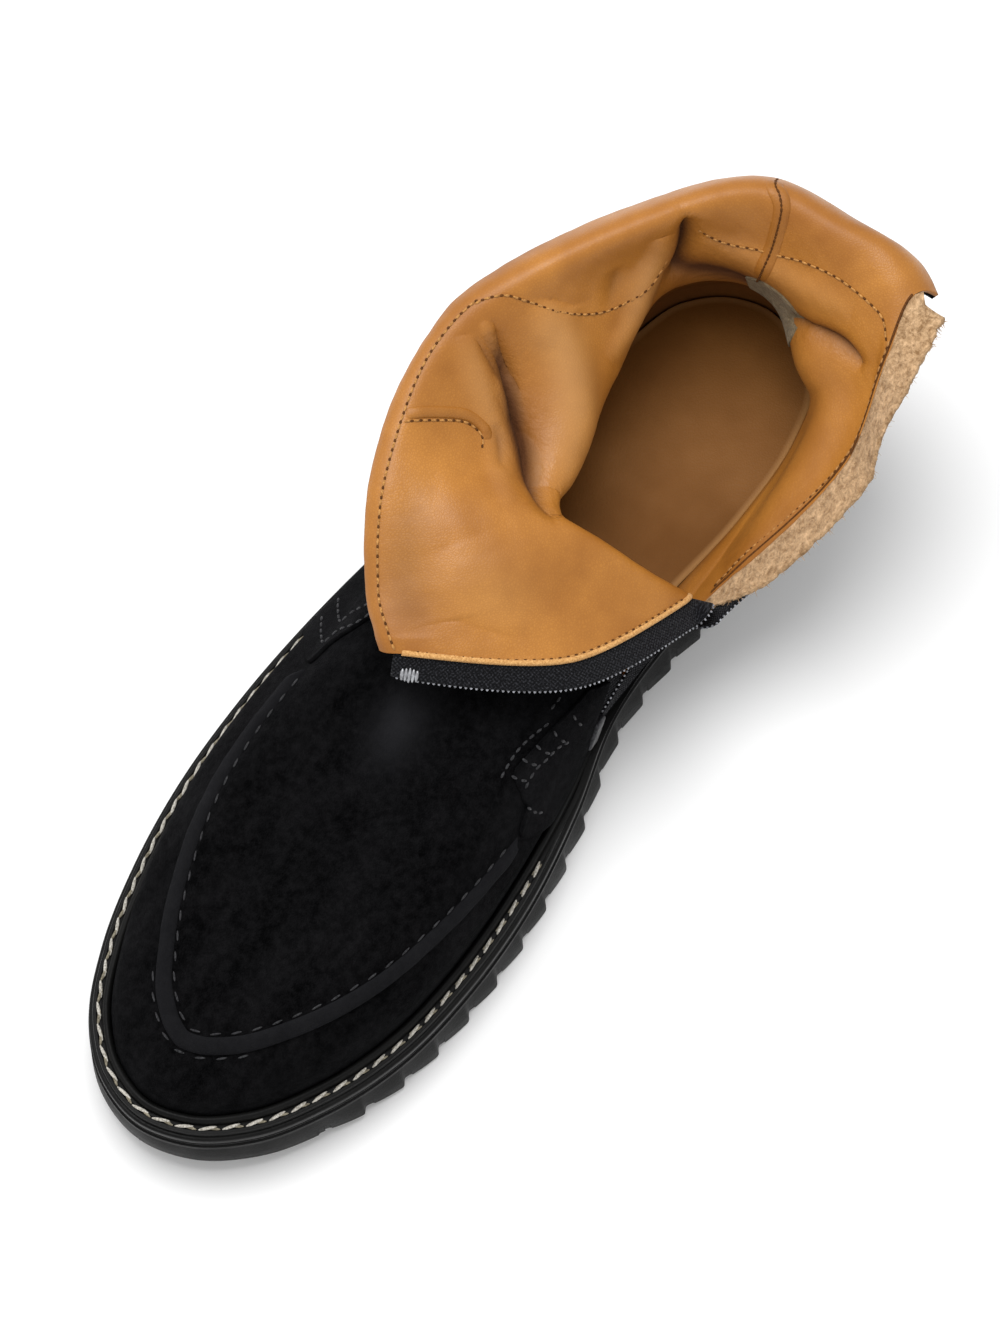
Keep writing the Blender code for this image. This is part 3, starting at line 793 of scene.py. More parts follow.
@dataclass
class Finishes:
    """Every material of the boot, made once from the shared effects."""

    effects: Effects
    made: dict[str, bpy.types.Material] = field(default_factory=dict)

    def objects(self, bench: Bench) -> bpy.types.NodeSocket:
        """Object coordinates."""
        return bench.node("ShaderNodeTexCoord").outputs["Object"]

    def attribute(self, bench: Bench, name: str) -> bpy.types.NodeSocket:
        """A painted mask of the piece."""
        return bench.node("ShaderNodeAttribute", attribute_name=name).outputs["Fac"]

    def suede(self) -> bpy.types.Material:
        """Black suede, lightened by a painted sheen where it bends."""
        look = Finish("black_suede", (0.0006, 0.0006, 0.0007), (0.0085, 0.0083, 0.009), (0.88, 1.0), 1.0,
                      specular=0.02, sheen=0.014, sheen_rough=0.42, sheen_tint=(0.75, 0.78, 0.85))
        material, bench, shader = look.shader()
        where = self.objects(bench)
        nap = bench.placed(self.effects.nap, {"Vector": where, "Brush": 46.0})
        # painted sheen: the mask lightens the nap towards a pale grey
        painted_sheen = self.attribute(bench, "painted_sheen")
        tone = bench.mix(nap.outputs["Shade"], *look.tones())
        tone = bench.mix(bench.maths("MULTIPLY", painted_sheen, 0.8, True), tone, (0.022, 0.022, 0.0245, 1.0))
        rough = look.roughness(bench, nap.outputs["Shade"])
        look.finish(bench, shader, tone, nap.outputs["Height"], rough, 0.0009)
        return material

    def lining(self) -> bpy.types.Material:
        """Smooth tan leather lining, with painted shade in its folds and a painted sheen on its ridges."""
        look = Finish("tan_lining", (0.3, 0.108, 0.013), (0.46, 0.19, 0.032), (0.36, 0.5), 0.15, specular=0.36)
        material, bench, shader = look.shader()
        where = self.objects(bench)
        grain = bench.placed(self.effects.grain, {"Vector": where, "Scale": 1300.0})
        patchy = bench.placed(self.effects.mottle, {"Vector": where, "Scale": 34.0})
        fold = self.attribute(bench, "fold")
        tone = bench.mix(patchy.outputs["Mask"], *look.tones())
        tone = bench.mix(bench.maths("MULTIPLY", grain.outputs["Pores"], 0.25), tone, (0.22, 0.07, 0.008, 1.0))
        # painted sheen: the ridges are lightened towards a pale tan
        tone = bench.mix(bench.maths("MULTIPLY", self.attribute(bench, "painted_sheen"), 0.3, True), tone, (0.7, 0.4, 0.16, 1.0))
        # painted shade: the troughs and the bottom of the boot are darkened towards a deep brown
        tone = bench.mix(bench.maths("MULTIPLY", fold, 0.92, True), tone, (0.055, 0.014, 0.0015, 1.0))
        fine = bench.noise(where, 160.0, 4.0, 0.6)
        slack = bench.noise(where, 55.0, 2.0, 0.5)
        pinch = bench.maths("ABSOLUTE", bench.maths("SUBTRACT", bench.noise(where, 230.0, 3.0, 0.55), 0.5))
        pinch = bench.maths("MULTIPLY", bench.maths("MULTIPLY", pinch, self.attribute(bench, "crumple")), 34.0)
        height = bench.maths("ADD", grain.outputs["Height"], bench.maths("ADD", fine, pinch))
        height = bench.maths("ADD", height, bench.maths("MULTIPLY", slack, 7.0))
        rough = look.roughness(bench, patchy.outputs["Mask"])
        rough = bench.maths("ADD", rough, bench.maths("MULTIPLY", fold, 0.4))
        look.finish(bench, shader, tone, height, rough, 0.00035)
        return material

    def insole(self) -> bpy.types.Material:
        """The smooth leather of the insole, rubbed smooth by wear."""
        look = Finish("insole_leather", (0.15, 0.056, 0.009), (0.225, 0.092, 0.018), (0.45, 0.62), 0.2, specular=0.12)
        material, bench, shader = look.shader()
        where = self.objects(bench)
        grain = bench.placed(self.effects.grain, {"Vector": where, "Scale": 1100.0})
        patchy = bench.placed(self.effects.mottle, {"Vector": where, "Scale": 26.0})
        tone = bench.mix(patchy.outputs["Mask"], *look.tones())
        tone = bench.mix(self.attribute(bench, "edge"), tone, (0.36, 0.18, 0.06, 1.0))
        rough = look.roughness(bench, patchy.outputs["Mask"])
        look.finish(bench, shader, tone, grain.outputs["Height"], rough, 0.0003)
        return material

    def split(self, name: str, dark: tuple, light: tuple) -> bpy.types.Material:
        """Rough-out split leather."""
        look = Finish(name, dark, light, (0.85, 1.0), 1.0, specular=0.2, sheen=0.25, sheen_tint=(1.0, 0.85, 0.65))
        material, bench, shader = look.shader()
        fibres = bench.placed(self.effects.fibres, {"Vector": self.objects(bench)})
        tone = bench.mix(fibres.outputs["Tone"], *look.tones())
        rough = look.roughness(bench, fibres.outputs["Tone"])
        look.finish(bench, shader, tone, fibres.outputs["Height"], rough, 0.0012)
        return material

    def rubber(self, name: str, dark: tuple, light: tuple, rough: tuple) -> bpy.types.Material:
        """Moulded black rubber with a fine satin texture and a little dust."""
        look = Finish(name, dark, light, rough, 0.25, specular=0.1)
        material, bench, shader = look.shader()
        where = self.objects(bench)
        fine = bench.noise(where, 1900.0, 2.0, 0.5)
        dust = bench.placed(self.effects.mottle, {"Vector": where, "Scale": 60.0})
        tone = bench.mix(dust.outputs["Mask"], *look.tones())
        shine = bench.span(bench.maths("ADD", fine, dust.outputs["Mask"]), 0.4, 1.6, *look.rough)
        look.finish(bench, shader, tone, fine, shine, 0.0004)
        return material

    def tape(self) -> bpy.types.Material:
        """Woven zip tape with pale specks."""
        look = Finish("zip_tape_weave", (0.003, 0.003, 0.004), (0.042, 0.043, 0.05), (0.8, 0.95), 0.9,
                      specular=0.1, sheen=0.05)
        material, bench, shader = look.shader()
        flat = bench.node("ShaderNodeUVMap", uv_map="lay").outputs[0]
        weave = bench.placed(self.effects.weave, {"Vector": flat, "Pitch": 1.1})
        tone = bench.mix(weave.outputs["Specks"], *look.tones())
        rough = look.roughness(bench, weave.outputs["Specks"])
        look.finish(bench, shader, tone, weave.outputs["Height"], rough, 0.0006)
        return material

    def flecked(self, look: Finish, scale: float, rough: float, distance: float) -> bpy.types.Material:
        """A finish that one fine noise shades and raises.

        Args:
            look: The finish.
            scale: Scale of the noise.
            rough: Roughness of the noise.
            distance: Height of the bump in metres.

        Returns:
            The material.
        """
        material, bench, shader = look.shader()
        fleck = bench.noise(self.objects(bench), scale, 3.0, rough)
        shade = bench.span(fleck, 0.35, 0.65)
        tone = bench.mix(shade, *look.tones())
        look.finish(bench, shader, tone, fleck, look.roughness(bench, shade), distance)
        return material

    def thread(self, name: str, dark: tuple, light: tuple, sheen: float = 0.1) -> bpy.types.Material:
        """Twisted sewing thread."""
        look = Finish(name, dark, light, (0.55, 0.8), 0.6, specular=0.12, sheen=sheen)
        return self.flecked(look, 1700.0, 0.7, 0.0004)

    def hardware(self, name: str, dark: tuple, light: tuple, metallic: float) -> bpy.types.Material:
        """Zip teeth and stops."""
        look = Finish(name, dark, light, (0.3, 0.5), 0.3, specular=0.5, metallic=metallic)
        return self.flecked(look, 700.0, 0.6, 0.0002)

    def floor(self) -> bpy.types.Material:
        """The pale studio floor."""
        look = Finish("pale_floor", (0.86, 0.86, 0.86), (0.88, 0.88, 0.88), (0.9, 0.95), 0.05, specular=0.1)
        material, bench, shader = look.shader()
        cloud = bench.noise(self.objects(bench), 3.0)
        tone = bench.mix(cloud, *look.tones())
        look.finish(bench, shader, tone, cloud, bench.span(cloud, 0.0, 1.0, *look.rough), 0.0002)
        shader.inputs["Emission Color"].default_value = (1.0, 1.0, 1.0, 1.0)
        shader.inputs["Emission Strength"].default_value = 0.06
        return material

    def get(self, name: str) -> bpy.types.Material:
        """A finish by its name, made on first use."""
        recipes: dict[str, Callable[[], bpy.types.Material]] = {
            "suede": self.suede,
            "lining": self.lining,
            "insole": self.insole,
            "tape": self.tape,
            "floor": self.floor,
            "guard": lambda: self.split("guard_split", (0.25, 0.135, 0.055), (0.76, 0.5, 0.28)),
            "grip": lambda: self.split("heel_grip_split", (0.1, 0.07, 0.035), (0.24, 0.18, 0.1)),
            "tread": lambda: self.rubber("tread_rubber", (0.003, 0.003, 0.003), (0.007, 0.0069, 0.0067), (0.4, 0.6)),
            "rim": lambda: self.rubber("rim_rubber", (0.0035, 0.0035, 0.0035), (0.008, 0.0079, 0.0077), (0.32, 0.5)),
            "welt": lambda: self.rubber("welt_black", (0.003, 0.003, 0.003), (0.007, 0.0069, 0.0067), (0.4, 0.6)),
            "ecru": lambda: self.thread("ecru_thread", (0.2, 0.185, 0.155), (0.62, 0.59, 0.53)),
            # a darker copy of the ecru thread, as painted shade
            "shaded_ecru": lambda: self.thread("shaded_ecru_thread", (0.1, 0.085, 0.06), (0.3, 0.27, 0.2)),
            "grey_thread": lambda: self.thread("grey_thread", (0.008, 0.008, 0.009), (0.045, 0.045, 0.048)),
            "seam_thread": lambda: self.thread("seam_thread", (0.26, 0.11, 0.025), (0.58, 0.29, 0.085)),
            "cord": lambda: self.thread("edge_cord", (0.42, 0.2, 0.06), (0.7, 0.4, 0.15)),
            "tan_thread": lambda: self.thread("tan_thread", (0.24, 0.1, 0.025), (0.55, 0.27, 0.08)),
            "brown_thread": lambda: self.thread("brown_thread", (0.06, 0.021, 0.005), (0.13, 0.048, 0.011), 0.0),
            "teeth": lambda: self.hardware("zip_teeth", (0.12, 0.12, 0.13), (0.45, 0.46, 0.5), 0.3),
            "stop": lambda: self.hardware("zip_stop", (0.2, 0.2, 0.21), (0.5, 0.51, 0.53), 0.5),
            "slider": lambda: self.hardware("zip_slider", (0.01, 0.01, 0.011), (0.04, 0.04, 0.045), 0.7),
        }
        if name not in self.made:
            self.made[name] = recipes[name]()
        return self.made[name]


# Workshop
@dataclass
class Workshop:
    """Makes pieces from bmeshes in millimetres, rides each on the boot and logs it."""

    finishes: Finishes

    def grid(self, points: np.ndarray, lay: Optional[np.ndarray] = None, turn: bool = False) -> bmesh.types.BMesh:
        """A grid of faces whose corners lie on a table of points.

        Args:
            points: Rows by columns of points in millimetres.
            lay: A flat map of the same shape, in millimetres.
            turn: Whether the faces are turned over.

        Returns:
            The grid.
        """
        rows, columns = points.shape[:2]
        bm = bmesh.new()
        bmesh.ops.create_grid(bm, x_segments=columns - 1, y_segments=rows - 1, size=1.0)
        bm.verts.ensure_lookup_table()
        for vert, point in zip(bm.verts, points.reshape(-1, 3)):
            vert.co = point
        if lay is not None:
            flat = lay.reshape(-1, 2)
            layer = bm.loops.layers.uv.new("lay")
            for face in bm.faces:
                for loop in face.loops:
                    loop[layer].uv = flat[loop.vert.index]
        if turn:
            bmesh.ops.reverse_faces(bm, faces=bm.faces)
        return bm

    def close(self, bm: bmesh.types.BMesh, reach: float = 0.004) -> bmesh.types.BMesh:
        """Joins corners that meet and turns every face outward."""
        bmesh.ops.remove_doubles(bm, verts=bm.verts, dist=reach)
        bmesh.ops.dissolve_degenerate(bm, edges=bm.edges, dist=reach)
        bmesh.ops.recalc_face_normals(bm, faces=bm.faces)
        return bm

    def piece(self, name: str, bm: bmesh.types.BMesh, finish: str, slot: str, nodes: Sequence[str] = (),
              masks: Optional[dict[str, np.ndarray]] = None, sharp: float = 60.0) -> bpy.types.Object:
        """Makes a piece and rides it on the boot.

        Args:
            name: Its name.
            bm: Its mesh in millimetres.
            finish: The name of its finish.
            slot: The record's material slot; not used.
            nodes: The solids that it stands for.
            masks: Values from 0 to 1 at each corner, by name.
            sharp: The angle past which an edge stays sharp.

        Returns:
            The piece.
        """
        bmesh.ops.scale(bm, vec=(MM, MM, MM), verts=bm.verts)
        mesh = bpy.data.meshes.new(name)
        bm.to_mesh(mesh)
        bm.free()
        for label, values in (masks or {}).items():
            layer = mesh.attributes.new(label, "FLOAT", "POINT")
            layer.data.foreach_set("value", np.clip(values, 0.0, 1.0).astype(np.float32).ravel())
        mesh.materials.append(self.finishes.get(finish))
        mesh.shade_smooth()
        mesh.set_sharp_from_angle(angle=math.radians(sharp))
        made = bpy.data.objects.new(name, mesh)
        bpy.context.scene.collection.objects.link(made)
        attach(made, "root")
        if nodes:
            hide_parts(*nodes)
        LOG.info("%s: %d faces, %s", name, len(mesh.polygons), finish)
        return made

    def thicken(self, made: bpy.types.Object, thick: float, offset: float) -> None:
        """Gives a sheet its thickness in millimetres: offset -1 goes in, 1 goes out."""
        modifier = made.modifiers.new("thickness", "SOLIDIFY")
        modifier.thickness = thick * MM
        modifier.offset = offset
        modifier.use_even_offset = False

    def stitch(self, bm: bmesh.types.BMesh, at: np.ndarray, ahead: np.ndarray, normal: np.ndarray,
               length: float, thick: float, slant: float = 0.0) -> None:
        """Adds one stitch, thick in the middle and drawn in at its ends.

        Args:
            bm: The mesh that it joins.
            at: Its middle.
            ahead: The way that the seam runs.
            normal: The way out of the surface.
            length: Its length.
            thick: Its thickness.
            slant: How far it turns from the seam, in radians.
        """
        out = Vector(normal).normalized()
        run = Vector(ahead)
        run = (run - out * run.dot(out)).normalized()
        across = out.cross(run)
        turned = run * math.cos(slant) + across * math.sin(slant)
        across = out.cross(turned)
        axes = Matrix((turned * length / 2, across * thick / 2, out * thick * 0.42)).transposed().to_4x4()
        place = Matrix.Translation(Vector(at)) @ axes
        spin = Matrix.Rotation(math.pi / 2, 4, "Y")
        bmesh.ops.create_uvsphere(bm, u_segments=6, v_segments=6, radius=1.0, matrix=place @ spin)

    def sew(self, bm: bmesh.types.BMesh, line: np.ndarray, normals: np.ndarray, pitch: float,
            length: float, thick: float, slant: float = 0.0, lift: float = 0.0, shift: float = 0.0) -> None:
        """Sews a row of stitches along a line.

        Args:
            bm: The mesh that they join.
            line: Points of the seam.
            normals: The way out of the surface at each point.
            pitch: Distance between stitches.
            length: Length of a stitch.
            thick: Thickness of the thread.
            slant: Turn of each stitch.
            lift: How far the stitches stand off.
            shift: How far the row is moved along, in stitches.
        """
        travel = travel_along(line)
        count = max(int(travel[-1] / pitch), 1)
        for step in range(count):
            where = (step + 0.5 + shift) * travel[-1] / count
            near, far = max(where - pitch * 0.4, 0.0), min(where + pitch * 0.4, travel[-1])
            at, back, front, out = (
                read_along(place, travel, table)
                for place, table in ((where, line), (near, line), (far, line), (where, normals))
            )
            self.stitch(bm, at + unit(out) * lift, front - back, out, length, thick, slant)


# The boot
@dataclass
class Upper:
    """The upper: suede outside, tan lining inside, with every crease in both."""

    wall: Wall
    shop: Workshop
    suede_thick: float = 1.1
    lining_thick: float = 1.15
    lining_gap: float = 0.05
    # how deep in the boot the lining gets painted shade: how dark, from which row down and over how many rows
    deep_shade: float = 0.72
    deep_shade_row: float = 5.0
    deep_shade_run: float = 3.0
    # the painted sheen spot on the instep: its middle and spread in plan, and the row that it ends at
    sheen_spot_middle: Place = (139.0, -5.0)
    sheen_spot_spread: Place = (13.0, 7.0)
    sheen_spot_row: float = 7.0
    suede_spans: tuple[int, ...] = (30, 32, 30, 32, 36, 36, 30, 34, 32, 30, 34)
    suede_rows: Table = (
        (0.0, 4), (1.0, 7), (2.0, 6), (2.7, 11), (3.3, 30), (7.0, 12), (8.0, 27), (9.0, 26), (10.0, 8), (11.0, 0),
    )
    lining_spans: tuple[int, ...] = (22, 22, 22, 30, 40, 46, 36, 44, 34, 36, 30)
    lining_rows: Table = (
        (0.0, 3), (1.0, 3), (2.0, 2), (2.7, 3), (3.3, 12), (7.0, 14), (8.0, 34), (9.0, 38), (10.0, 9), (11.0, 0),
    )

    def places(self, spans: tuple[int, ...]) -> np.ndarray:
        """Section places of the columns."""
        steps = [np.arange(count) / count + i for i, count in enumerate(spans)]
        places = np.concatenate(steps + [[len(spans)]])
        places[0] += self.wall.last.zip_slit
        places[-1] -= self.wall.last.zip_slit
        return places

    def rows(self, steps: Table) -> np.ndarray:
        """Rows of the grid, closer where the wall bends most."""
        found = []
        for (start, count), (stop, _) in zip(steps, steps[1:]):
            found.append(np.linspace(start, stop, int(count), endpoint=False))
        return np.concatenate(found + [[steps[-1][0]]])

    def sheet(self, rows: np.ndarray, u: np.ndarray, depth: float) -> tuple[np.ndarray, np.ndarray, np.ndarray]:
        """The wall's grid at a depth, joined at the foot of the zip.

        Args:
            rows: Rows of the grid.
            u: Section places of its columns.
            depth: Depth under the outer face.

        Returns:
            The points, the bare surface and how far the creases move it.
        """
        table = np.repeat(rows[:, None], len(u), axis=1)
        points = self.wall.patch(table, u, depth)
        low = rows <= self.wall.last.zip_foot
        points[low, -1] = points[low, 0] = (points[low, -1] + points[low, 0]) / 2
        bare = self.wall.last.surface(rows, u)
        return points, bare, self.wall.lift(table, u, bare)

    def build(self) -> None:
        """Builds the suede and the lining."""
        rows = self.rows(self.suede_rows)
        points, bare, lift = self.sheet(rows, self.places(self.suede_spans), 0.0)
        spot = (((bare[..., :2] - self.sheen_spot_middle) / self.sheen_spot_spread) ** 2).sum(axis=-1)
        instep = np.exp(-spot) * (rows[:, None] < self.sheen_spot_row)
        # painted sheen on the suede: lighter where the creases stand out and on the instep spot
        painted_sheen = 0.5 * np.clip(lift / 2.5, 0.0, 1.0) + 0.75 * instep
        bm = self.shop.grid(points, turn=True)
        suede = self.shop.piece("upper_suede", bm, "suede", "suede", ("upper",), {"painted_sheen": painted_sheen})
        self.shop.thicken(suede, self.suede_thick, -1.0)
        rows = self.rows(self.lining_rows)
        points, bare, _ = self.sheet(rows, self.places(self.lining_spans), self.suede_thick + self.lining_gap)
        masks = self.wall.masks(bare)
        # painted shade of the lining, darker towards the bottom rows deep in the boot
        deep_shade = self.deep_shade * np.clip((self.deep_shade_row - rows) / self.deep_shade_run, 0.0, 1.0)
        masks["fold"] = np.maximum(masks["fold"], deep_shade[:, None])
        bm = self.shop.grid(points, turn=True)
        lining = self.shop.piece("upper_lining", bm, "lining", "tan_leather", (), masks)
        self.shop.thicken(lining, self.lining_thick, -1.0)


@dataclass
class Overlays:
    """The rolled apron seam and the saddle patches, cut from the wall's own shape."""

    wall: Wall
    shop: Workshop
    seam_ends: tuple[float, float] = (0.5, 3.72)
    seam_row: float = 2.97
    # distance from the seam's line towards the toe cap edge or the vamp, height
    seam_shape: Table = (
        (-2.9, -0.5), (-2.8, 0.5), (-2.3, 1.3), (-1.4, 1.75), (-0.2, 1.85),
        (0.9, 1.7), (1.7, 1.25), (2.1, 0.5), (2.2, -0.5),
    )
    # distance from the seam's line, from and to which section place, height
    seam_stitches: tuple = ((3.05, (0.56, 3.66), 0.2), (-3.75, (1.62, 2.42), 0.2))
    # pitch, length, thickness and slant of the apron's stitches
    seam_thread: tuple[float, ...] = (5.6, 3.0, 0.62, 0.12)
    saddle_thick: float = 1.2
    saddle_lift: float = 0.12
    # row, how far from the zip the medial patch reaches
    medial_front: Table = (
        (1.35, 0.27), (2.3, 0.4), (3.2, 0.5), (4.1, 0.6), (4.75, 0.79), (5.35, 1.02), (5.75, 0.86), (6.4, 0.52),
    )
    # row, from and to which section place the lateral patch reaches
    lateral_sides: Table = (
        (1.35, 4.0, 4.9), (2.3, 3.92, 4.8), (3.2, 3.74, 4.7), (4.1, 3.62, 4.6), (4.75, 3.5, 4.45), (5.35, 3.4, 4.3),
    )

    def beside_seam(self, u: np.ndarray, away: Sequence[float]) -> tuple[np.ndarray, np.ndarray]:
        """Lines on the wall at distances from the apron seam.

        Args:
            u: Section places.
            away: Distances, towards the vamp where they are positive.

        Returns:
            The points and normals, distances by places.
        """
        rows = np.linspace(2.2, 3.9, 90)
        face = self.wall.points(np.repeat(rows[:, None], len(u), axis=1), u)
        normals = grid_normals(face)
        found = np.empty((2, len(away), len(u), 3))
        for i in range(len(u)):
            travel = travel_along(face[:, i])
            travel -= np.interp(self.seam_row, rows, travel)
            found[0, :, i] = read_along(away, travel, face[:, i])
            found[1, :, i] = read_along(away, travel, normals[:, i])
        return found[0], found[1]

    def seam_grid(self) -> np.ndarray:
        """Points of the rolled seam: its section, carried along the edge of the apron."""
        u = np.linspace(*self.seam_ends, 420)
        shape = np.array(self.seam_shape)
        at, out = self.beside_seam(u, shape[:, 0])
        fade = np.clip(np.minimum(u - u[0], u[-1] - u) / 0.06, 0.0, 1.0) ** 0.5
        wobble = 1.0 + 0.08 * np.sin(u * 41.0) * np.sin(u * 17.0)
        rise = np.where(shape[:, 1:] > 0, shape[:, 1:] * wobble * fade, shape[:, 1:])
        return at + out * rise[..., None]

    def build_seam_stitches(self) -> None:
        """Builds the stitches in the groove inside the seam, and the outer row round the toe."""
        bm = bmesh.new()
        for away, ends, lift in self.seam_stitches:
            line, normals = self.beside_seam(np.linspace(*ends, 400), [away])
            self.shop.sew(bm, line[0], normals[0], *self.seam_thread, lift)
        self.shop.piece("apron_stitches", bm, "grey_thread", "suede")

    def medial_patch(self) -> np.ndarray:
        """Points of the medial saddle patch."""
        table = np.array(self.medial_front)
        rows = np.linspace(table[0, 0], table[-1, 0], 70)
        reach = np.interp(rows, table[:, 0], table[:, 1])
        share = np.linspace(0.0, 1.0, 44)
        return self.laid(rows, 0.05 + 0.0 * reach, reach, share)

    def lateral_patch(self) -> np.ndarray:
        """Points of the lateral saddle patch."""
        table = np.array(self.lateral_sides)
        rows = np.linspace(table[0, 0], table[-1, 0], 60)
        first, last = (np.interp(rows, table[:, 0], table[:, k]) for k in (1, 2))
        return self.laid(rows, first, last, np.linspace(0.0, 1.0, 50))

    def laid(self, rows: np.ndarray, first: np.ndarray, last: np.ndarray, share: np.ndarray) -> np.ndarray:
        """Points of a patch on the wall, between two edges.

        Args:
            rows: Rows of the patch.
            first: Section place of one edge at each row.
            last: Section place of the other edge.
            share: Shares across.

        Returns:
            Points, rows by shares.
        """
        grid = np.empty((len(rows), len(share), 3))
        for j, part in enumerate(share):
            u = first + (last - first) * part
            grid[:, j] = self.wall.along(list(zip(u, rows)), -self.saddle_lift, len(rows))[0]
        return grid

    def build(self) -> None:
        """Builds the seam with its stitches and both patches."""
        self.build_seam_stitches()
        grid = self.seam_grid()
        bm = self.shop.grid(np.concatenate([grid, grid[:1]]), turn=True)
        bmesh.ops.holes_fill(bm, edges=bm.edges)
        self.shop.close(bm)
        # the roll gets an even painted sheen that makes it read lighter than the vamp
        self.shop.piece("apron_seam_roll", bm, "suede", "suede", ("apron_seam",),
                        {"painted_sheen": np.full(len(bm.verts), 0.5)})
        for name, node, grid in (
            ("saddle_patch_medial", "saddle_medial", self.medial_patch()),
            ("saddle_patch_lateral", "saddle_lateral", self.lateral_patch()),
        ):
            bm = self.shop.grid(grid, turn=True)
            # a faint even painted sheen on each patch
            patch = self.shop.piece(name, bm, "suede", "suede", (node,), {"painted_sheen": np.full(len(bm.verts), 0.05)})
            self.shop.thicken(patch, self.saddle_thick, 1.0)


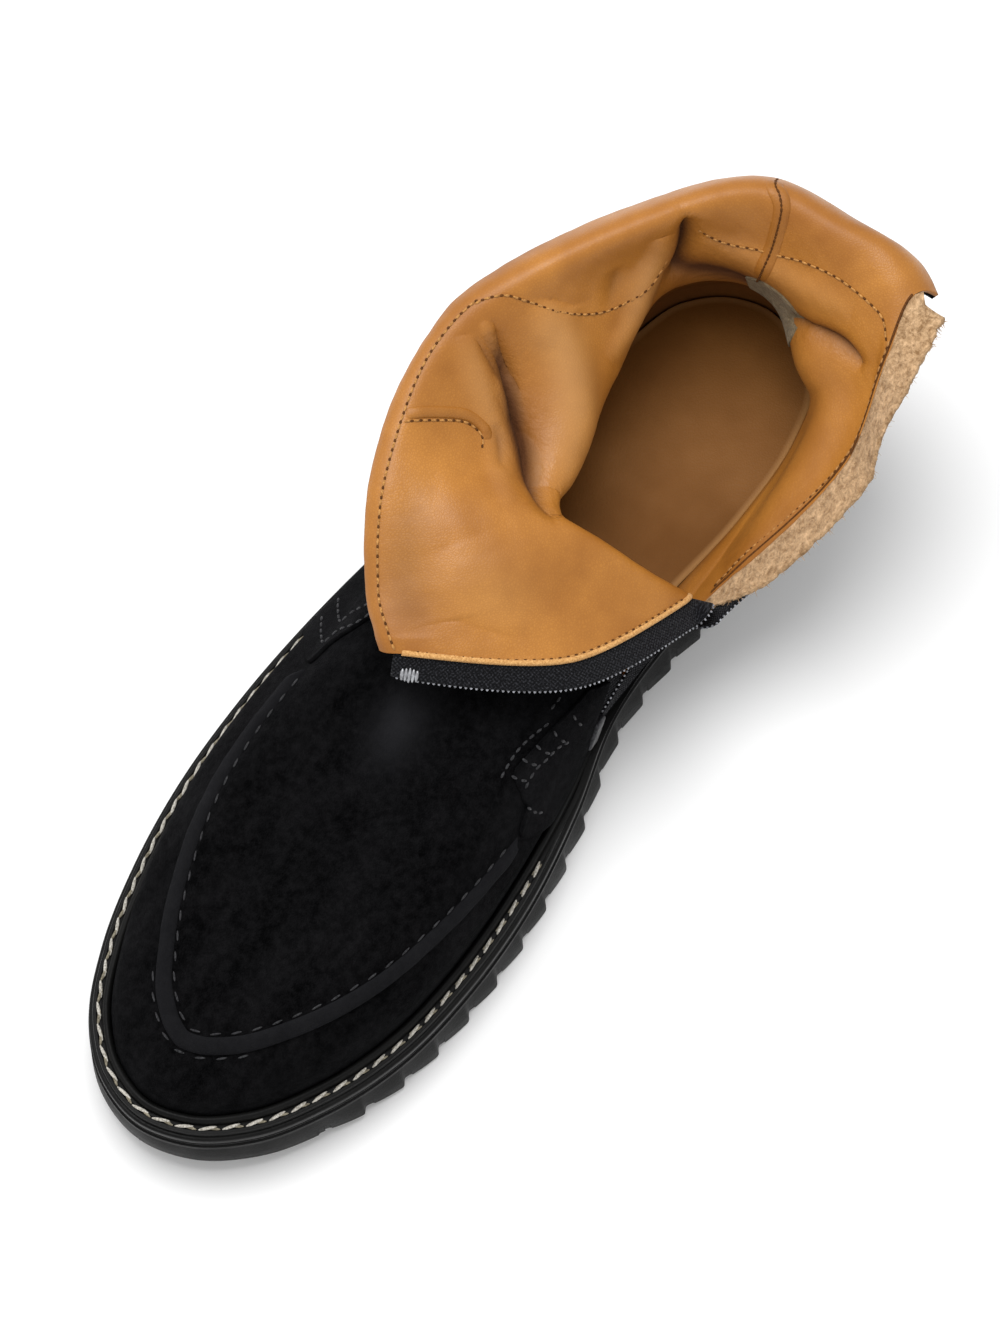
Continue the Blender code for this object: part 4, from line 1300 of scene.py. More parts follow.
@dataclass
class Zip:
    """The open zip: both tapes, their teeth, the top stop, the slider and the rough leather guard."""

    last: Last
    shop: Workshop
    tape_thick: float = 0.8
    tape_shows: float = 7.0
    parting: tuple[float, float] = (6.9, 8.0)
    guard_thick: float = 1.1
    guard_shows: float = 11.0
    front_rows: tuple[float, float] = (3.2, 10.05)
    back_rows: tuple[float, float] = (3.2, 9.7)
    guard_rows: tuple[float, float] = (7.9, 10.3)
    tooth_pitch: float = 1.45
    # length and thickness of a tooth
    tooth_size: Place = (1.5, 0.85)
    back_share: float = 0.72
    back_depth: float = 0.1
    stop_rows: tuple[float, float] = (9.72, 9.95)
    slider_rows: tuple[float, float] = (2.6, 3.4)
    slider_size: tuple[float, float, float] = (9.5, 6.4, 2.2)
    fibre_count: int = 260

    def free_way(self, which: Edge, rows: np.ndarray) -> np.ndarray:
        """The way that the wall would carry on past an edge, evened out along it."""
        coarse = np.arange(2.0, 11.01, 0.25)
        slit = self.last.zip_slit
        start, step = (slit, 0.125) if which is Edge.FRONT else (self.last.places - slit, -1 / 6)
        edge, inside = (self.last.surface(coarse, np.array([u]))[:, 0] for u in (start, start + step))
        out = unit(edge - inside)
        for _ in range(6):
            out[1:-1] = (out[:-2] + 2 * out[1:-1] + out[2:]) / 4
        return unit(read_along(rows, coarse, out))

    def opened(self, rows: np.ndarray) -> np.ndarray:
        """How far the zip is open: 0 where the tapes lie side by side, 1 where they part."""
        share = np.clip((rows - self.parting[0]) / (self.parting[1] - self.parting[0]), 0.0, 1.0)
        return share * share * (3 - 2 * share)

    def edge(self, which: Edge, rows: np.ndarray) -> tuple[np.ndarray, np.ndarray, np.ndarray, np.ndarray]:
        """One zip edge of the upper.

        Args:
            which: The edge.
            rows: Rows along it.

        Returns:
            Its points, the way out past the edge, the outward normal and half the gap to the other edge.
        """
        ends = {Edge.FRONT: self.last.zip_slit, Edge.BACK: self.last.places - self.last.zip_slit}
        lines = {side: self.last.surface(rows, np.array([u]))[:, 0] for side, u in ends.items()}
        edge = lines.pop(which)
        along = unit(np.gradient(edge, axis=0))
        across = (lines.popitem()[1] - edge) / 2
        across -= along * (across * along).sum(axis=1)[:, None]
        share = self.opened(rows)[:, None]
        out = unit(across) * (1 - share) + self.free_way(which, rows) * share
        out = unit(out - along * (out * along).sum(axis=1)[:, None])
        side = 1.0 if which is Edge.BACK else -1.0
        return edge, out, np.cross(along, out) * side, np.linalg.norm(across, axis=1)

    def shows(self, which: Edge, rows: np.ndarray, full: float) -> np.ndarray:
        """How far a strip shows past the edge: up to the other tape where the zip is closed."""
        half = self.edge(which, rows)[3]
        return half + (full - half) * self.opened(rows)

    def strip(self, which: Edge, rows: np.ndarray, reach: np.ndarray, depth: float) -> tuple[np.ndarray, np.ndarray]:
        """Points of a strip that carries a zip edge on.

        Args:
            which: The edge.
            rows: Rows along it.
            reach: Distances past the edge, rows by steps.
            depth: Depth under the outer face.

        Returns:
            The points, and a flat map in millimetres.
        """
        edge, out, normal, _ = self.edge(which, rows)
        points = edge[:, None] + out[:, None] * reach[:, :, None] - normal[:, None] * depth
        length = np.repeat(travel_along(edge)[:, None], reach.shape[1], axis=1)
        return points, np.stack([length, reach], axis=2)

    def build_tapes(self) -> None:
        """Builds both tapes."""
        middle = (self.last.wall - self.tape_thick) / 2
        back = self.back_share * self.guard_shows
        for name, which, ends, full, depth, node in (
            ("zip_tape_front_woven", Edge.FRONT, self.front_rows, self.tape_shows, middle, "zip_tape_front"),
            ("zip_tape_back_woven", Edge.BACK, self.back_rows, back, self.back_depth, "zip_tape_back"),
        ):
            rows = np.linspace(*ends, 220)
            shows = self.shows(which, rows, full)
            share = np.linspace(0.0, 1.0, 12)
            reach = 0.05 + (shows[:, None] - 0.05) * share[None, :]
            points, lay = self.strip(which, rows, reach, depth)
            bm = self.shop.grid(points, lay, turn=which is Edge.BACK)
            tape = self.shop.piece(name, bm, "tape", "zip_tape", (node,))
            self.shop.thicken(tape, self.tape_thick, -1.0)

    def build_teeth(self) -> None:
        """Builds the rows of small teeth along both tapes."""
        middle = self.last.wall / 2
        for name, which, ends, full, depth in (
            ("zip_teeth_front", Edge.FRONT, self.front_rows, self.tape_shows, middle),
            ("zip_teeth_back", Edge.BACK, self.back_rows, self.back_share * self.guard_shows, 0.5),
        ):
            rows = np.linspace(*ends, 300)
            edge, out, normal, _ = self.edge(which, rows)
            line = edge + out * (self.shows(which, rows, full) - 0.15)[:, None] - normal * depth
            travel = travel_along(line)
            bm = bmesh.new()
            for step in range(int(travel[-1] / self.tooth_pitch)):
                where = (step + 0.5) * self.tooth_pitch
                at, way, up = (read_along(where, travel, table) for table in (line, out, normal))
                self.shop.stitch(bm, at, way, up, *self.tooth_size)
            self.shop.piece(name, bm, "teeth", "zip_tape")

    def build_stop(self) -> None:
        """Builds the pale top stop at the front tape's end."""
        rows = np.linspace(*self.stop_rows, 5)
        edge, out, normal, _ = self.edge(Edge.FRONT, rows)
        along = unit(np.gradient(edge, axis=0))
        bm = bmesh.new()
        middle = edge[2] + out[2] * (self.tape_shows - 1.2) - normal[2] * (self.last.wall - 0.7)
        for step in range(-2, 3):
            self.shop.stitch(bm, middle + along[2] * step, out[2], -normal[2], 4.4 - 0.5 * abs(step), 1.0)
        self.shop.piece("zip_top_stop", bm, "stop", "zip_tape")

    def build_slider(self) -> None:
        """Builds the slider at the foot of the zip."""
        rows = np.linspace(*self.slider_rows, 9)
        front, _, normal, _ = self.edge(Edge.FRONT, rows)
        back = self.edge(Edge.BACK, rows)[0]
        middle = (front + back) / 2
        ahead = middle[-1] - middle[0]
        bm = bmesh.new()
        out = Vector(normal[4]).normalized()
        run = Vector(ahead)
        run = (run - out * run.dot(out)).normalized()
        axes = Matrix((run, out.cross(run), out)).transposed().to_4x4()
        place = Matrix.Translation(Vector(middle[4]) + out * 0.9) @ axes
        made = bmesh.ops.create_cube(bm, size=1.0, matrix=place @ Matrix.Diagonal((*self.slider_size, 1.0)))
        bmesh.ops.bevel(bm, geom=list({e for v in made["verts"] for e in v.link_edges}), offset=0.9, segments=3,
                        profile=0.5, affect="EDGES", material=-1)
        self.shop.piece("zip_slider", bm, "slider", "zip_tape")

    def build_guard(self) -> None:
        """Builds the rough leather guard and the loose fibres along its edge."""
        rows = np.linspace(*self.guard_rows, 320)
        dice = np.random.default_rng(7)
        grown = np.clip((rows - rows[0]) / 0.45, 0.12, 1.0) ** 0.7
        shows = self.guard_shows * grown * np.clip((10.5 - rows) / 0.4, 0.35, 1.0) ** 0.5
        ragged = np.convolve(dice.normal(0.0, 0.55, len(rows) + 4), np.ones(5) / 5, "valid")
        share = np.linspace(0.0, 1.0, 16)
        reach = 0.05 + (shows[:, None] - 0.05) * share[None, :] + ragged[:, None] * share[None, :] ** 6
        points, lay = self.strip(Edge.BACK, rows, reach, self.back_depth + self.tape_thick + 0.15)
        points += (ripple(points, 6.0, 2.0) * 0.18)[..., None] * np.array([0.3, 0.3, 0.9])
        bm = self.shop.grid(points, lay, turn=True)
        guard = self.shop.piece("zip_guard_split", bm, "guard", "split_leather", ("zip_guard",))
        self.shop.thicken(guard, self.guard_thick, -1.0)
        _, out, normal, _ = self.edge(Edge.BACK, rows)
        bm = bmesh.new()
        for _ in range(self.fibre_count):
            k = dice.integers(4, len(rows) - 4)
            root = points[k, -1] - out[k] * 0.4 - normal[k] * dice.uniform(0.0, 0.9)
            lean = out[k] + 0.7 * dice.normal(size=3)
            self.fibre(bm, root, lean, dice.uniform(0.8, 2.4), dice.uniform(0.07, 0.14))
        self.shop.piece("zip_guard_fibres", bm, "guard", "split_leather")

    def fibre(self, bm: bmesh.types.BMesh, root: np.ndarray, lean: np.ndarray, length: float, thick: float) -> None:
        """Adds one loose fibre as a thin cone."""
        turn = Vector((0, 0, 1)).rotation_difference(Vector(lean)).to_matrix().to_4x4()
        place = Matrix.Translation(Vector(root)) @ turn @ Matrix.Translation((0, 0, length / 2))
        bmesh.ops.create_cone(bm, cap_ends=True, segments=4, radius1=thick, radius2=thick * 0.2, depth=length,
                              matrix=place)

    def build(self) -> None:
        """Builds every piece of the zip."""
        self.build_tapes()
        self.build_teeth()
        self.build_stop()
        self.build_slider()
        self.build_guard()


@dataclass
class Sole:
    """Outsole with its lugs, midsole with the stitched rim, welt with its rib, and the insole."""

    last: Last
    shop: Workshop
    lug_pitch: float = 13.0
    lug_reach: float = 1.6
    lug_first: float = -28.0
    lug_last: float = 232.0
    tooth_peak: float = 0.2
    lug_shoulder: float = 0.55
    groove_wide: float = 3.6
    groove_deep: float = 4.2
    groove_run: float = 0.62
    notch_deep: float = 1.3
    rim_step: float = 1.0
    welt_thick: float = 2.2
    rib_rise: float = 2.2
    rib_wide: float = 2.4
    welt_setback: float = 1.6
    stitch_pitch: float = 6.3
    stitch_ends: tuple[float, float] = (138.0, 112.0)
    # length in pitches, thickness, slant and lift of the upper and the lower ply
    top_ply: tuple[float, ...] = (0.84, 0.95, 0.17, 0.2)
    low_ply: tuple[float, ...] = (0.7, 0.85, -0.2, 0.0)

    def teeth(self, x: np.ndarray) -> np.ndarray:
        """Saw-tooth share from 0 to 1 along the side of the tread, with softened peaks."""
        share = ((x - self.lug_first) / self.lug_pitch) % 1.0
        steep, slow = share / self.tooth_peak, (1.0 - share) / (1.0 - self.tooth_peak)
        tooth = np.where(share < self.tooth_peak, steep * steep * (3 - 2 * steep), slow * (1.35 - 0.35 * slow))
        return np.where((x > self.lug_first) & (x < self.lug_last), np.minimum(tooth, 0.97), 0.35)

    def stations(self) -> np.ndarray:
        """Places along the foot: close at the round ends, and at every lug's corners."""
        tip_low, tip_high = self.outline_ends()
        ends = tip_low + (tip_high - tip_low) * (0.5 - 0.5 * np.cos(np.linspace(0.0, math.pi, 150)))
        half = self.groove_wide / 2
        count = int((self.lug_last - self.lug_first) / self.lug_pitch) + 1
        cuts = []
        for step in range(count):
            x = self.lug_first + step * self.lug_pitch
            cuts += [x - half - 0.25, x - half + 0.1, x, x + half - 0.1, x + half + 0.25]
            cuts += [x + self.lug_pitch * k for k in (0.04, 0.1, 0.15, 0.19, 0.23, 0.3, 0.45, 0.6, 0.75, 0.9, 0.97)]
        inside = [x for x in cuts if tip_low + 1.0 < x < tip_high - 1.0]
        return np.unique(np.round(np.concatenate([ends, inside]), 3))

    def outline_ends(self) -> tuple[float, float]:
        """Where the outline starts at the heel and ends at the toe."""
        x = self.last.ring()[:, 0]
        return float(x.min()), float(x.max())

    def in_groove(self, x: np.ndarray) -> np.ndarray:
        """1 inside a groove between lugs and 0 on the lugs."""
        off = np.abs((x - self.lug_first + self.lug_pitch / 2) % self.lug_pitch - self.lug_pitch / 2)
        there = (x > self.lug_first - 3) & (x < self.lug_last + 3)
        return np.where(there, np.clip((self.groove_wide / 2 - off) / 0.3 + 0.5, 0.0, 1.0), 0.0)

    def section(self, x: np.ndarray, rims: float, inset: float, height: np.ndarray, teeth: float) -> list[np.ndarray]:
        """The two sides of one level of a slab, outer then inner."""
        found = []
        middle = self.last.side(x, 1, rims, inset)
        for which in (-1, 1):
            y = self.last.side(x, which, rims, inset) + which * teeth * self.teeth(x)
            y[[0, -1]] = middle[[0, -1]]
            found.append(np.stack([x, y, height], axis=1))
        return found

    def slab(self, levels: Sequence[tuple], x: np.ndarray, across: Sequence[np.ndarray] = ()) -> bmesh.types.BMesh:
        """A closed body from levels, each with rims, inset, height and tooth reach.

        Args:
            levels: The levels from the top down.
            x: Places along the foot at full length.
            across: Further lines between the last level's sides.

        Returns:
            The body.
        """
        outer, inner = [], []
        low, high = self.outline_ends()
        for rims, inset, height, teeth in levels:
            line = self.last.ring(rims, inset)[:, 0]
            own = line.min() + (x - low) / (high - low) * (line.max() - line.min())
            sides = self.section(own, rims, inset, height(own), teeth)
            outer.append(sides[0])
            inner.append(sides[1])
        rings = outer + list(across) + inner[::-1] + outer[:1]
        return self.shop.close(self.shop.grid(np.array(rings)))

    def build_outsole(self) -> None:
        """Builds the tread unit."""
        last, x = self.last, self.stations()

        def top(at: np.ndarray) -> np.ndarray:
            """Height of the tread unit's top."""
            return last.midsole_top(at) - last.midsole_thick - last.fit_gap

        def share(part: float, drop: float = 0.0) -> Callable[[np.ndarray], np.ndarray]:
            """A height between the underside and the top."""
            return lambda at: last.underside(at) + (top(at) - last.underside(at)) * part - drop

        def tread(at: np.ndarray) -> np.ndarray:
            """Height of the lugs' edge, cut by the grooves."""
            return last.underside(at) + self.notch_deep * self.in_groove(at)

        levels = (
            (0.0, 0.6, top, 0.0),
            (0.0, 0.0, lambda at: top(at) - 0.5, 0.0),
            (0.0, 0.0, lambda at: top(at) - 2.2, 0.0),
            (0.0, self.rim_step, lambda at: top(at) - 2.8, 0.0),
            (0.0, 0.75 * self.rim_step, share(self.lug_shoulder + 0.15), 0.1 * self.lug_reach),
            (0.0, 0.4 * self.rim_step, share(self.lug_shoulder), 0.4 * self.lug_reach),
            (0.0, 0.15, share(self.lug_shoulder - 0.2), 0.75 * self.lug_reach),
            (0.0, 0.0, lambda at: tread(at) + 0.7, 0.97 * self.lug_reach),
            (0.0, 0.5, tread, self.lug_reach),
        )
        lines = []
        for part in (0.1, 0.3, 0.37, 0.395, 0.5, 0.605, 0.63, 0.7, 0.9):
            left, right = (last.side(x, which, 0.0, 0.5) for which in (-1, 1))
            inside = 1.0 if 2 * min(part, 1 - part) < self.groove_run + 0.15 else 0.0
            height = last.underside(x) + self.groove_deep * self.in_groove(x) * inside
            lines.append(np.stack([x, left + (right - left) * part, height], axis=1))
        self.shop.piece("outsole_tread", self.slab(levels, x, lines), "tread", "rubber", ("outsole",), sharp=40.0)

    def build_midsole(self) -> None:
        """Builds the midsole with its broken edge and the groove of its side."""
        last = self.last
        x = self.stations()
        thick = last.midsole_thick
        levels = []
        for inset, drop in ((1.5, 0.0), (1.0, 0.08), (0.62, 0.32), (0.42, 0.75), (0.4, 1.2), (0.4, 2.7), (0.75, 2.95),
                            (0.75, 3.25), (0.4, 3.5), (0.5, thick)):
            levels.append((0.0, inset, lambda at, drop=drop: last.midsole_top(at) - drop, 0.0))
        self.shop.piece("midsole_rim", self.slab(levels, x), "rim", "rubber", ("midsole",), sharp=45.0)

    def build_insole(self) -> None:
        """Builds the insole, a little dished, with a pale cut edge."""
        last, x = self.last, self.stations()

        def top(at: np.ndarray) -> np.ndarray:
            """Height of the insole's upper face."""
            return last.midsole_top(at) + last.fit_gap + last.insole_thick

        wall = last.wall
        levels = (
            (1.0, wall + 7.0, lambda at: top(at) - 0.35, 0.0),
            (1.0, wall + 3.0, lambda at: top(at) - 0.15, 0.0),
            (1.0, wall + 1.5, top, 0.0),
            (1.0, wall + 0.75, lambda at: top(at) - 0.3, 0.0),
            (1.0, wall + 0.6, lambda at: top(at) - 0.9, 0.0),
            (1.0, wall + 0.6, lambda at: last.midsole_top(at) + last.fit_gap, 0.0),
        )
        bm = self.slab(levels, x)
        at = np.array([vert.co for vert in bm.verts])
        left, right = (last.side(at[:, 0], which, 1.0, wall + 2.4) for which in (-1, 1))
        edge = ((at[:, 1] < left) | (at[:, 1] > right)) * 0.8
        self.shop.piece("insole_board", bm, "insole", "tan_leather", ("insole",), {"edge": edge}, sharp=45.0)

    def welt_line(self, count: int) -> tuple[np.ndarray, np.ndarray, np.ndarray, np.ndarray]:
        """The welt's inner line, the way out, its reach and how much of the rib stands.

        Args:
            count: How many points go round.

        Returns:
            The line, the way out, the reach and the share of the rib.
        """
        outer = self.last.ring(0.0, self.welt_setback, count)
        inner = self.last.ring(1.0, -0.3, count)
        reach = np.linalg.norm(outer - inner, axis=1)
        fade = np.clip((inner[:, 0] - 100.0) / 25.0, 0.0, 1.0)
        return inner, (outer - inner) / reach[:, None], reach, fade

    def build_welt(self) -> None:
        """Builds the welt: a flat strip with a raised rib against the upper and a stitch channel."""
        count = 900
        inner, away, reach, fade = self.welt_line(count)
        rib = self.welt_thick + self.rib_rise * fade
        flat = self.welt_thick + 0.0 * rib
        wide = self.rib_wide
        rings = [(0.0, 0.0 * rib)]
        for k in range(9):
            turn = math.pi * k / 8
            out = wide / 2 - wide / 2 * math.cos(turn)
            rings.append((out, flat - 0.6 + (rib - flat + 0.6) * math.sin(turn) ** 0.6 if 0 < k < 8 else flat - 0.6))
        rings += [(wide + 0.5, flat - 0.9), (wide + 1.3, flat - 0.8), (wide + 1.7, flat - 0.1)]
        rings += [(reach - 0.6, flat - 0.1), (reach - 0.15, flat - 0.25), (reach, flat - 0.7), (reach, 0.0 * rib)]
        points = []
        for out, height in rings + rings[:1]:
            plan = inner + away * np.broadcast_to(out, reach.shape)[:, None]
            ring = np.column_stack([plan, self.last.midsole_top(plan[:, 0]) + self.last.fit_gap + height])
            points.append(np.vstack([ring, ring[:1]]))
        bm = self.shop.close(self.shop.grid(np.array(points)))
        self.shop.piece("welt_strip", bm, "welt", "welt", ("welt",), sharp=50.0)

    def build_welt_stitches(self) -> None:
        """Builds the ecru stitches: each a pair of twisted plies lying in the channel, the lower ply in a darker copy
        of the thread as painted shade.
        """
        inner, away, _, _ = self.welt_line(2400)
        plan = inner + away * (self.rib_wide + 0.95)
        height = self.last.midsole_top(plan[:, 0]) + self.last.fit_gap + self.welt_thick - 0.15
        line = np.column_stack([plan, height])
        shown = plan[:, 0] > np.where(plan[:, 1] > 0, *self.stitch_ends)
        start = int(np.argmax(shown))
        line = np.roll(line, -start, axis=0)[: shown.sum()]
        normals = np.tile((0.0, 0.0, 1.0), (len(line), 1))
        bm = bmesh.new()
        self.shop.sew(bm, line, normals, self.stitch_pitch, self.stitch_pitch * self.top_ply[0], *self.top_ply[1:])
        self.shop.piece("welt_stitches", bm, "ecru", "welt")
        shift = travel_along(line) / self.stitch_pitch
        lead = line[np.searchsorted(shift, 0.5):]
        # the lower ply: a darker copy of the ecru thread, painted shade in the channel
        bm = bmesh.new()
        length = self.stitch_pitch * self.low_ply[0]
        self.shop.sew(bm, lead, normals[: len(lead)], self.stitch_pitch, length, *self.low_ply[1:])
        self.shop.piece("welt_under_stitches", bm, "shaded_ecru", "welt")

    def build(self) -> None:
        """Builds every piece of the sole."""
        self.build_outsole()
        self.build_midsole()
        self.build_insole()
        self.build_welt()
        self.build_welt_stitches()


@dataclass(frozen=True)
class Trim:
    """A raised strip on the wall: the face it lies on, its path, and how wide and high it is."""

    name: str
    face: Face
    finish: str
    path: tuple[Place, ...]
    wide: float
    high: float


@dataclass
class Trims:
    """The cords, folded edges and strips that lie on the lining."""

    wall: Wall
    shop: Workshop
    trims: tuple[Trim, ...]
    sink: float = 0.35

    def ring(self, trim: Trim) -> np.ndarray:
        """Points of one strip: a rounded back over a flat base, sunk into the wall."""
        lining = trim.face is Face.LINING
        line, out = self.wall.along(trim.path, self.wall.last.wall if lining else 0.0, 220)
        out = -out if lining else out
        across = unit(np.cross(out, unit(np.gradient(line, axis=0))))
        travel = travel_along(line)
        fade = np.clip(np.minimum(travel, travel[-1] - travel) / trim.wide, 0.0, 1.0) ** 0.5
        rings = []
        for turn in np.linspace(0.0, math.pi, 9):
            rise = (trim.high + self.sink) * math.sin(turn) * fade - self.sink
            rings.append(line - across * (math.cos(turn) * trim.wide / 2) + out * rise[:, None])
        return np.array(rings + rings[:1])

    def build(self) -> None:
        """Builds each strip as one closed piece."""
        for trim in self.trims:
            bm = self.shop.grid(self.ring(trim))
            bmesh.ops.holes_fill(bm, edges=bm.edges)
            self.shop.close(bm)
            # a little painted shade over each strip
            masks = {"fold": np.full(len(bm.verts), 0.1)}
            self.shop.piece(trim.name, bm, trim.finish, "tan_leather", (), masks)


@dataclass
class HeelGrip:
    """The rough split patch on the lining behind the heel."""

    wall: Wall
    shop: Workshop
    rows: tuple[float, float] = (7.2, 8.42)
    places: tuple[float, float] = (8.05, 8.78)
    thick: float = 0.5

    def build(self) -> None:
        """Lays the patch on the lining, with rounded corners."""
        share = np.linspace(0.0, 1.0, 30)
        rows = np.linspace(*self.rows, 26)
        grid = np.empty((len(rows), len(share), 3))
        bow = 1.0 - 0.16 * np.abs(2 * share - 1) ** 3
        for j, part in enumerate(share):
            u = self.places[0] + (self.places[1] - self.places[0]) * part
            heights = rows[0] + (rows - rows[0]) * bow[j]
            path = [(u, row) for row in heights]
            grid[:, j] = self.wall.along(path, self.wall.last.wall + 0.1, len(rows))[0]
        bm = self.shop.grid(grid, turn=True)
        patch = self.shop.piece("heel_grip", bm, "grip", "split_leather")
        self.shop.thicken(patch, self.thick, -1.0)


@dataclass(frozen=True)
class Seam:
    """A row of stitches: the face it lies on, its path and its thread."""

    name: str
    face: Face
    finish: str
    pitch: float
    thick: float
    paths: tuple[tuple[Place, ...], ...]
    share: float = 0.72
    lift: float = 0.08


@dataclass
class Stitching:
    """Every sewn row on the upper."""

    wall: Wall
    shop: Workshop
    seams: tuple[Seam, ...]
    # dark beads that paint the shade of the needle holes between the lining's stitches: their length, thickness and
    # sink
    hole_length: float = 1.15
    hole_thick: float = 0.75
    hole_sink: float = 0.12

    def build(self) -> None:
        """Sews each seam as one piece, and dark beads of painted shade in the lining's needle-hole pits as another."""
        hole_shade = bmesh.new()
        for seam in self.seams:
            lining = seam.face is Face.LINING
            bm = bmesh.new()
            for path in seam.paths:
                line, normals = self.wall.along(path, self.wall.last.wall if lining else 0.0)
                normals = -normals if lining else normals
                self.shop.sew(bm, line, normals, seam.pitch, seam.pitch * seam.share, seam.thick, 0.0, seam.lift)
                if lining:
                    self.shop.sew(hole_shade, line, normals, seam.pitch, self.hole_length, self.hole_thick,
                                  lift=seam.lift - self.hole_sink, shift=0.5)
            self.shop.piece(seam.name, bm, seam.finish, "tan_leather" if lining else "suede")
        self.shop.piece("needle_hole_shade", hole_shade, "brown_thread", "tan_leather")


CREASES = (
    # the gully between the flap's outer end and the rolled outer side
    Crease(((5.6, 9.62), (5.23, 9.28), (4.88, 9.02), (4.46, 8.83), (3.89, 8.59), (3.41, 8.37), (2.6, 8.22)), 4.6, 4.4),
    Crease(((5.45, 9.48), (5.23, 9.28), (4.88, 9.02), (4.46, 8.83), (3.89, 8.59), (3.3, 8.35)), 1.8, 1.0),
    Crease(((6.2, 9.4), (6.03, 9.2), (5.86, 8.81), (5.49, 8.47), (5.09, 8.31), (4.0, 8.16)), 7.0, -3.2),
    Crease(((5.3, 9.8), (5.0, 9.55), (4.7, 9.38), (4.26, 9.19), (3.68, 8.9), (3.0, 8.6)), 4.2, -1.8),
    # crumples at its upper end
    Crease(((5.75, 9.72), (5.48, 9.39), (5.31, 9.15), (5.1, 8.9)), 1.5, 1.1),
    Crease(((5.62, 9.75), (5.38, 9.42), (5.2, 9.2)), 1.4, -1.1),
    Crease(((5.35, 9.7), (5.1, 9.42), (4.9, 9.2)), 1.4, 1.0),
    Crease(((5.18, 9.1), (4.95, 8.92), (4.7, 8.75)), 1.5, -1.1),
    Crease(((4.95, 9.3), (4.73, 9.15), (4.45, 9.0)), 1.4, -0.9),
    Crease(((4.6, 8.72), (4.2, 8.52), (3.8, 8.4)), 1.5, -1.2),
    Crease(((4.2, 9.2), (3.85, 9.02), (3.5, 8.8)), 2.0, 1.2),
    # the notch behind the outer side
    Crease(((7.5, 9.85), (7.42, 9.5), (7.34, 9.15), (7.25, 8.7), (7.15, 8.2)), 3.3, 5.4),
    Crease(((7.47, 9.75), (7.41, 9.5), (7.35, 9.25)), 1.5, 0.9),
    Crease(((7.2, 9.5), (7.0, 9.0), (6.75, 8.6), (6.5, 8.35), (6.1, 8.3)), 4.4, -2.6),
    # the hollow over the heel, with the fold that hangs above it
    Crease(((6.9, 8.6), (7.3, 8.35), (7.75, 8.15), (8.2, 8.05), (8.6, 8.1), (8.95, 8.3)), 7.0, 3.8),
    Crease(((7.5, 9.1), (7.85, 8.8), (8.25, 8.7), (8.65, 8.75), (9.05, 8.95), (9.4, 9.15)), 4.6, -1.2),
    Crease(((6.3, 7.5), (6.9, 7.2), (7.5, 6.9), (8.1, 6.8), (8.7, 7.0)), 12.0, 1.7),
    # the roll at the inner back and the sagging wall below it
    Crease(((8.6, 8.05), (8.95, 8.35), (9.3, 8.6), (9.6, 8.78), (9.85, 8.92)), 3.0, 3.8),
    Crease(((8.4, 7.3), (8.9, 7.7), (9.4, 8.0), (9.9, 8.15), (10.4, 8.15), (10.85, 8.0)), 9.0, -5.0, 0.15),
    # soft waves of the flap and the outer side, and the creases of the instep, which the suede's painted sheen lightens
    # where they stand out
    Crease(((2.3, 9.2), (1.75, 9.2), (1.2, 9.2), (0.7, 9.3)), 12.0, -1.0),
    Crease(((3.3, 9.4), (2.6, 9.6), (1.9, 9.68), (1.2, 9.72), (0.6, 9.78)), 9.0, 1.1),
    Crease(((6.7, 9.3), (6.6, 9.0), (6.4, 8.7)), 3.2, 0.9),
    Crease(((2.6, 6.3), (2.42, 5.87), (2.2, 5.71), (1.97, 5.48)), 3.2, 0.8),
    Crease(((2.75, 6.2), (2.62, 5.8), (2.45, 5.5)), 3.6, -0.7),
    Crease(((2.1, 6.4), (1.95, 6.0), (1.75, 5.7)), 4.0, -0.5),
)

BACK_SEAM = ((8.19, 10.5), (8.19, 10.13), (8.32, 9.73), (8.27, 8.77), (8.2, 8.31))
LATERAL_SEAM = ((3.94, 9.98), (4.06, 9.66), (4.15, 9.41), (4.05, 9.25), (3.86, 9.17))
ZIP_FRONT_LINE = ((0.06, 9.92), (0.05, 9.6), (0.05, 9.05), (0.05, 8.8), (0.05, 8.56), (0.05, 8.05))
ZIP_BACK_LINE = ((10.94, 9.98), (10.94, 9.6), (10.94, 9.06), (10.94, 8.73), (10.94, 8.48), (10.94, 8.26), (10.94, 7.95))

TRIMS = (
    Trim("flap_edge_cord", Face.LINING, "cord", ZIP_FRONT_LINE, 1.7, 0.6),
    Trim("lateral_seam_fold", Face.LINING, "lining", LATERAL_SEAM, 3.4, 0.7),
    Trim("back_seam_strip", Face.LINING, "lining", BACK_SEAM, 5.0, 0.55),
    Trim("guard_stitch_line", Face.LINING, "brown_thread", ZIP_BACK_LINE, 0.8, 0.2),
)

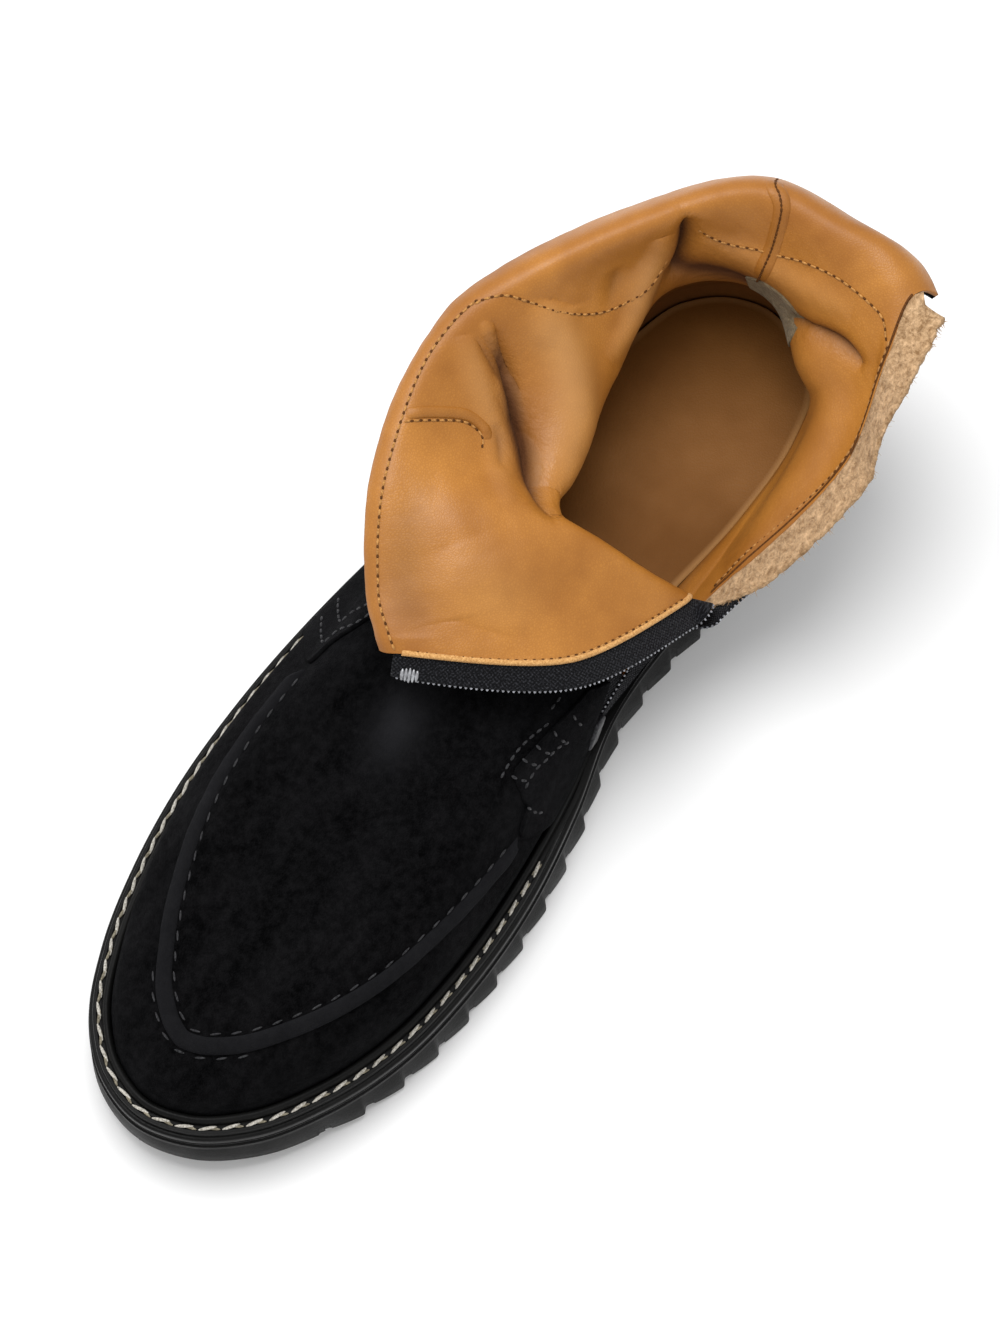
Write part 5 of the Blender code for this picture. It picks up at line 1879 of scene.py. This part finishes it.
SEAMS = (
    Seam("collar_stitches", Face.LINING, "seam_thread", 2.6, 0.7, (
        ((0.14, 9.97), (0.8, 9.98), (1.5, 9.98), (2.36, 9.98), (3.19, 9.99), (3.85, 10.0), (4.53, 10.02),
         (5.28, 10.06), (5.8, 10.08)),
    )),
    Seam("facing_stitches", Face.LINING, "seam_thread", 2.6, 0.7, (
        ((5.75, 10.03), (6.03, 9.9), (6.11, 9.62), (6.17, 9.25), (6.28, 8.89), (6.48, 8.67), (6.77, 8.66),
         (7.06, 8.88), (7.28, 9.3)),
        ((7.49, 9.33), (7.8, 8.95), (8.29, 8.97), (8.65, 9.17), (9.04, 9.33), (9.56, 9.43), (10.15, 9.51),
         (10.7, 9.55)),
    )),
    Seam("back_seam_stitches", Face.LINING, "brown_thread", 2.4, 0.7, (BACK_SEAM,), lift=0.6),
    Seam("lateral_seam_stitches", Face.LINING, "seam_thread", 2.4, 0.7, (
        ((3.84, 9.98), (3.94, 9.66), (4.03, 9.41), (3.93, 9.25), (3.76, 9.17)),
    )),
    Seam("zip_front_stitches", Face.LINING, "seam_thread", 2.4, 0.6, (
        ((0.16, 9.85), (0.1, 9.6), (0.1, 9.05), (0.1, 8.8), (0.1, 8.56), (0.1, 8.2)),
    )),
    Seam("zip_back_stitches", Face.LINING, "tan_thread", 2.5, 0.62, (
        ((10.88, 9.6), (10.88, 9.06), (10.88, 8.73), (10.88, 8.48), (10.88, 8.26), (10.88, 7.9)),
    )),
    Seam("saddle_stitches_medial", Face.OUTER, "grey_thread", 2.7, 0.75, (
        ((1.1, 5.3), (1.1, 5.62), (1.04, 5.79), (0.9, 5.95)),
        ((0.98, 6.15), (0.94, 6.36)),
    ), lift=0.2),
    Seam("saddle_patch_stitches_medial", Face.OUTER, "grey_thread", 2.7, 0.8, (
        ((0.79, 4.8), (0.78, 5.1), (0.7, 5.17), (0.6, 5.25), (0.46, 5.13)),
        ((1.05, 5.32), (0.8, 4.96)),
        ((1.04, 5.54), (0.77, 5.17)),
        ((0.98, 5.7), (0.66, 5.22)),
        ((0.86, 5.86), (0.5, 5.2)),
        ((0.68, 6.01), (0.52, 5.7), (0.35, 5.32)),
        ((0.66, 4.28), (0.5, 3.7), (0.37, 3.13)),
    ), lift=1.4),
    Seam("saddle_stitches_lateral", Face.OUTER, "grey_thread", 2.7, 0.75, (
        ((4.08, 2.3), (3.96, 2.8), (3.82, 3.5), (3.7, 4.1), (3.52, 4.75), (3.44, 5.2)),
        ((4.24, 2.3), (4.12, 2.8), (3.98, 3.5), (3.86, 4.1), (3.7, 4.75), (3.6, 5.2)),
    ), lift=1.4),
)


@dataclass
class Studio:
    """Floor, light and the camera at the photograph's angle."""

    shop: Workshop
    eye: tuple[float, float, float] = (0.5246, 0.3092, 1.3954)
    right: tuple[float, float, float] = (-0.58920, 0.80799, 0.0)
    up: tuple[float, float, float] = (-0.75432, -0.55007, 0.35837)
    back: tuple[float, float, float] = (0.28956, 0.21115, 0.93358)
    lens: float = 141.8

    def build_floor(self) -> None:
        """A wide pale floor."""
        bm = bmesh.new()
        bmesh.ops.create_grid(bm, x_segments=4, y_segments=4, size=6.0)
        mesh = bpy.data.meshes.new("studio_floor")
        bm.to_mesh(mesh)
        bm.free()
        mesh.materials.append(self.shop.finishes.get("floor"))
        floor = bpy.data.objects.new("studio_floor", mesh)
        bpy.context.scene.collection.objects.link(floor)
        floor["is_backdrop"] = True

    def build_camera(self) -> None:
        """The camera."""
        data = bpy.data.cameras.new("photo_camera")
        data.lens = self.lens
        data.sensor_width = 36.0
        data.clip_start = 0.05
        camera = bpy.data.objects.new("photo_camera", data)
        axes = Matrix((self.right, self.up, self.back)).transposed().to_4x4()
        camera.matrix_world = Matrix.Translation(self.eye) @ axes
        bpy.context.scene.collection.objects.link(camera)
        bpy.context.scene.camera = camera

    def build_light(self) -> None:
        """A white room with one wide soft light from the upper left of the picture."""
        world = bpy.data.worlds.new("studio_world")
        world.use_nodes = True
        world.node_tree.nodes["Background"].inputs["Color"].default_value = (1.0, 1.0, 1.0, 1.0)
        world.node_tree.nodes["Background"].inputs["Strength"].default_value = 0.7
        bpy.context.scene.world = world
        target = Vector((0.1, 0.0, 0.05))
        for name, left, lift, away, size, power in (
            ("key_light", 0.12, 0.16, 1.2, 0.85, 13.5),
            ("fill_light", 0.9, 0.5, 0.8, 1.0, 3.0),
        ):
            data = bpy.data.lights.new(name, "AREA")
            data.shape = "DISK"
            data.size = size
            data.energy = power
            light = bpy.data.objects.new(name, data)
            light.location = target - Vector(self.right) * left + Vector(self.up) * lift + Vector((0, 0, away))
            light.rotation_euler = (target - light.location).to_track_quat("-Z", "Y").to_euler()
            bpy.context.scene.collection.objects.link(light)

    def build(self) -> None:
        """Sets the studio up."""
        self.build_floor()
        self.build_camera()
        self.build_light()
        bpy.context.scene.view_settings.view_transform = "Standard"


def write_sizes() -> None:
    """Works out the box of the solids and the box of the dressed boot."""
    boxes = {name: [list(map(float, corner)) for corner in box] for name, box in (("cad", CAD_BOX), ("visual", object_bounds()))}


def main() -> None:
    """Builds the studio and the boot, piece by piece."""
    logging.basicConfig(level=logging.INFO, format="%(name)s %(message)s")
    last = Last()
    shop = Workshop(Finishes(Effects()))
    wall = Wall(last, CREASES)
    Studio(shop).build()
    Sole(last, shop).build()
    Upper(wall, shop).build()
    Overlays(wall, shop).build()
    Zip(last, shop).build()
    Trims(wall, shop, TRIMS).build()
    HeelGrip(wall, shop).build()
    Stitching(wall, shop, SEAMS).build()
    write_sizes()


if __name__ == "__main__":
    main()
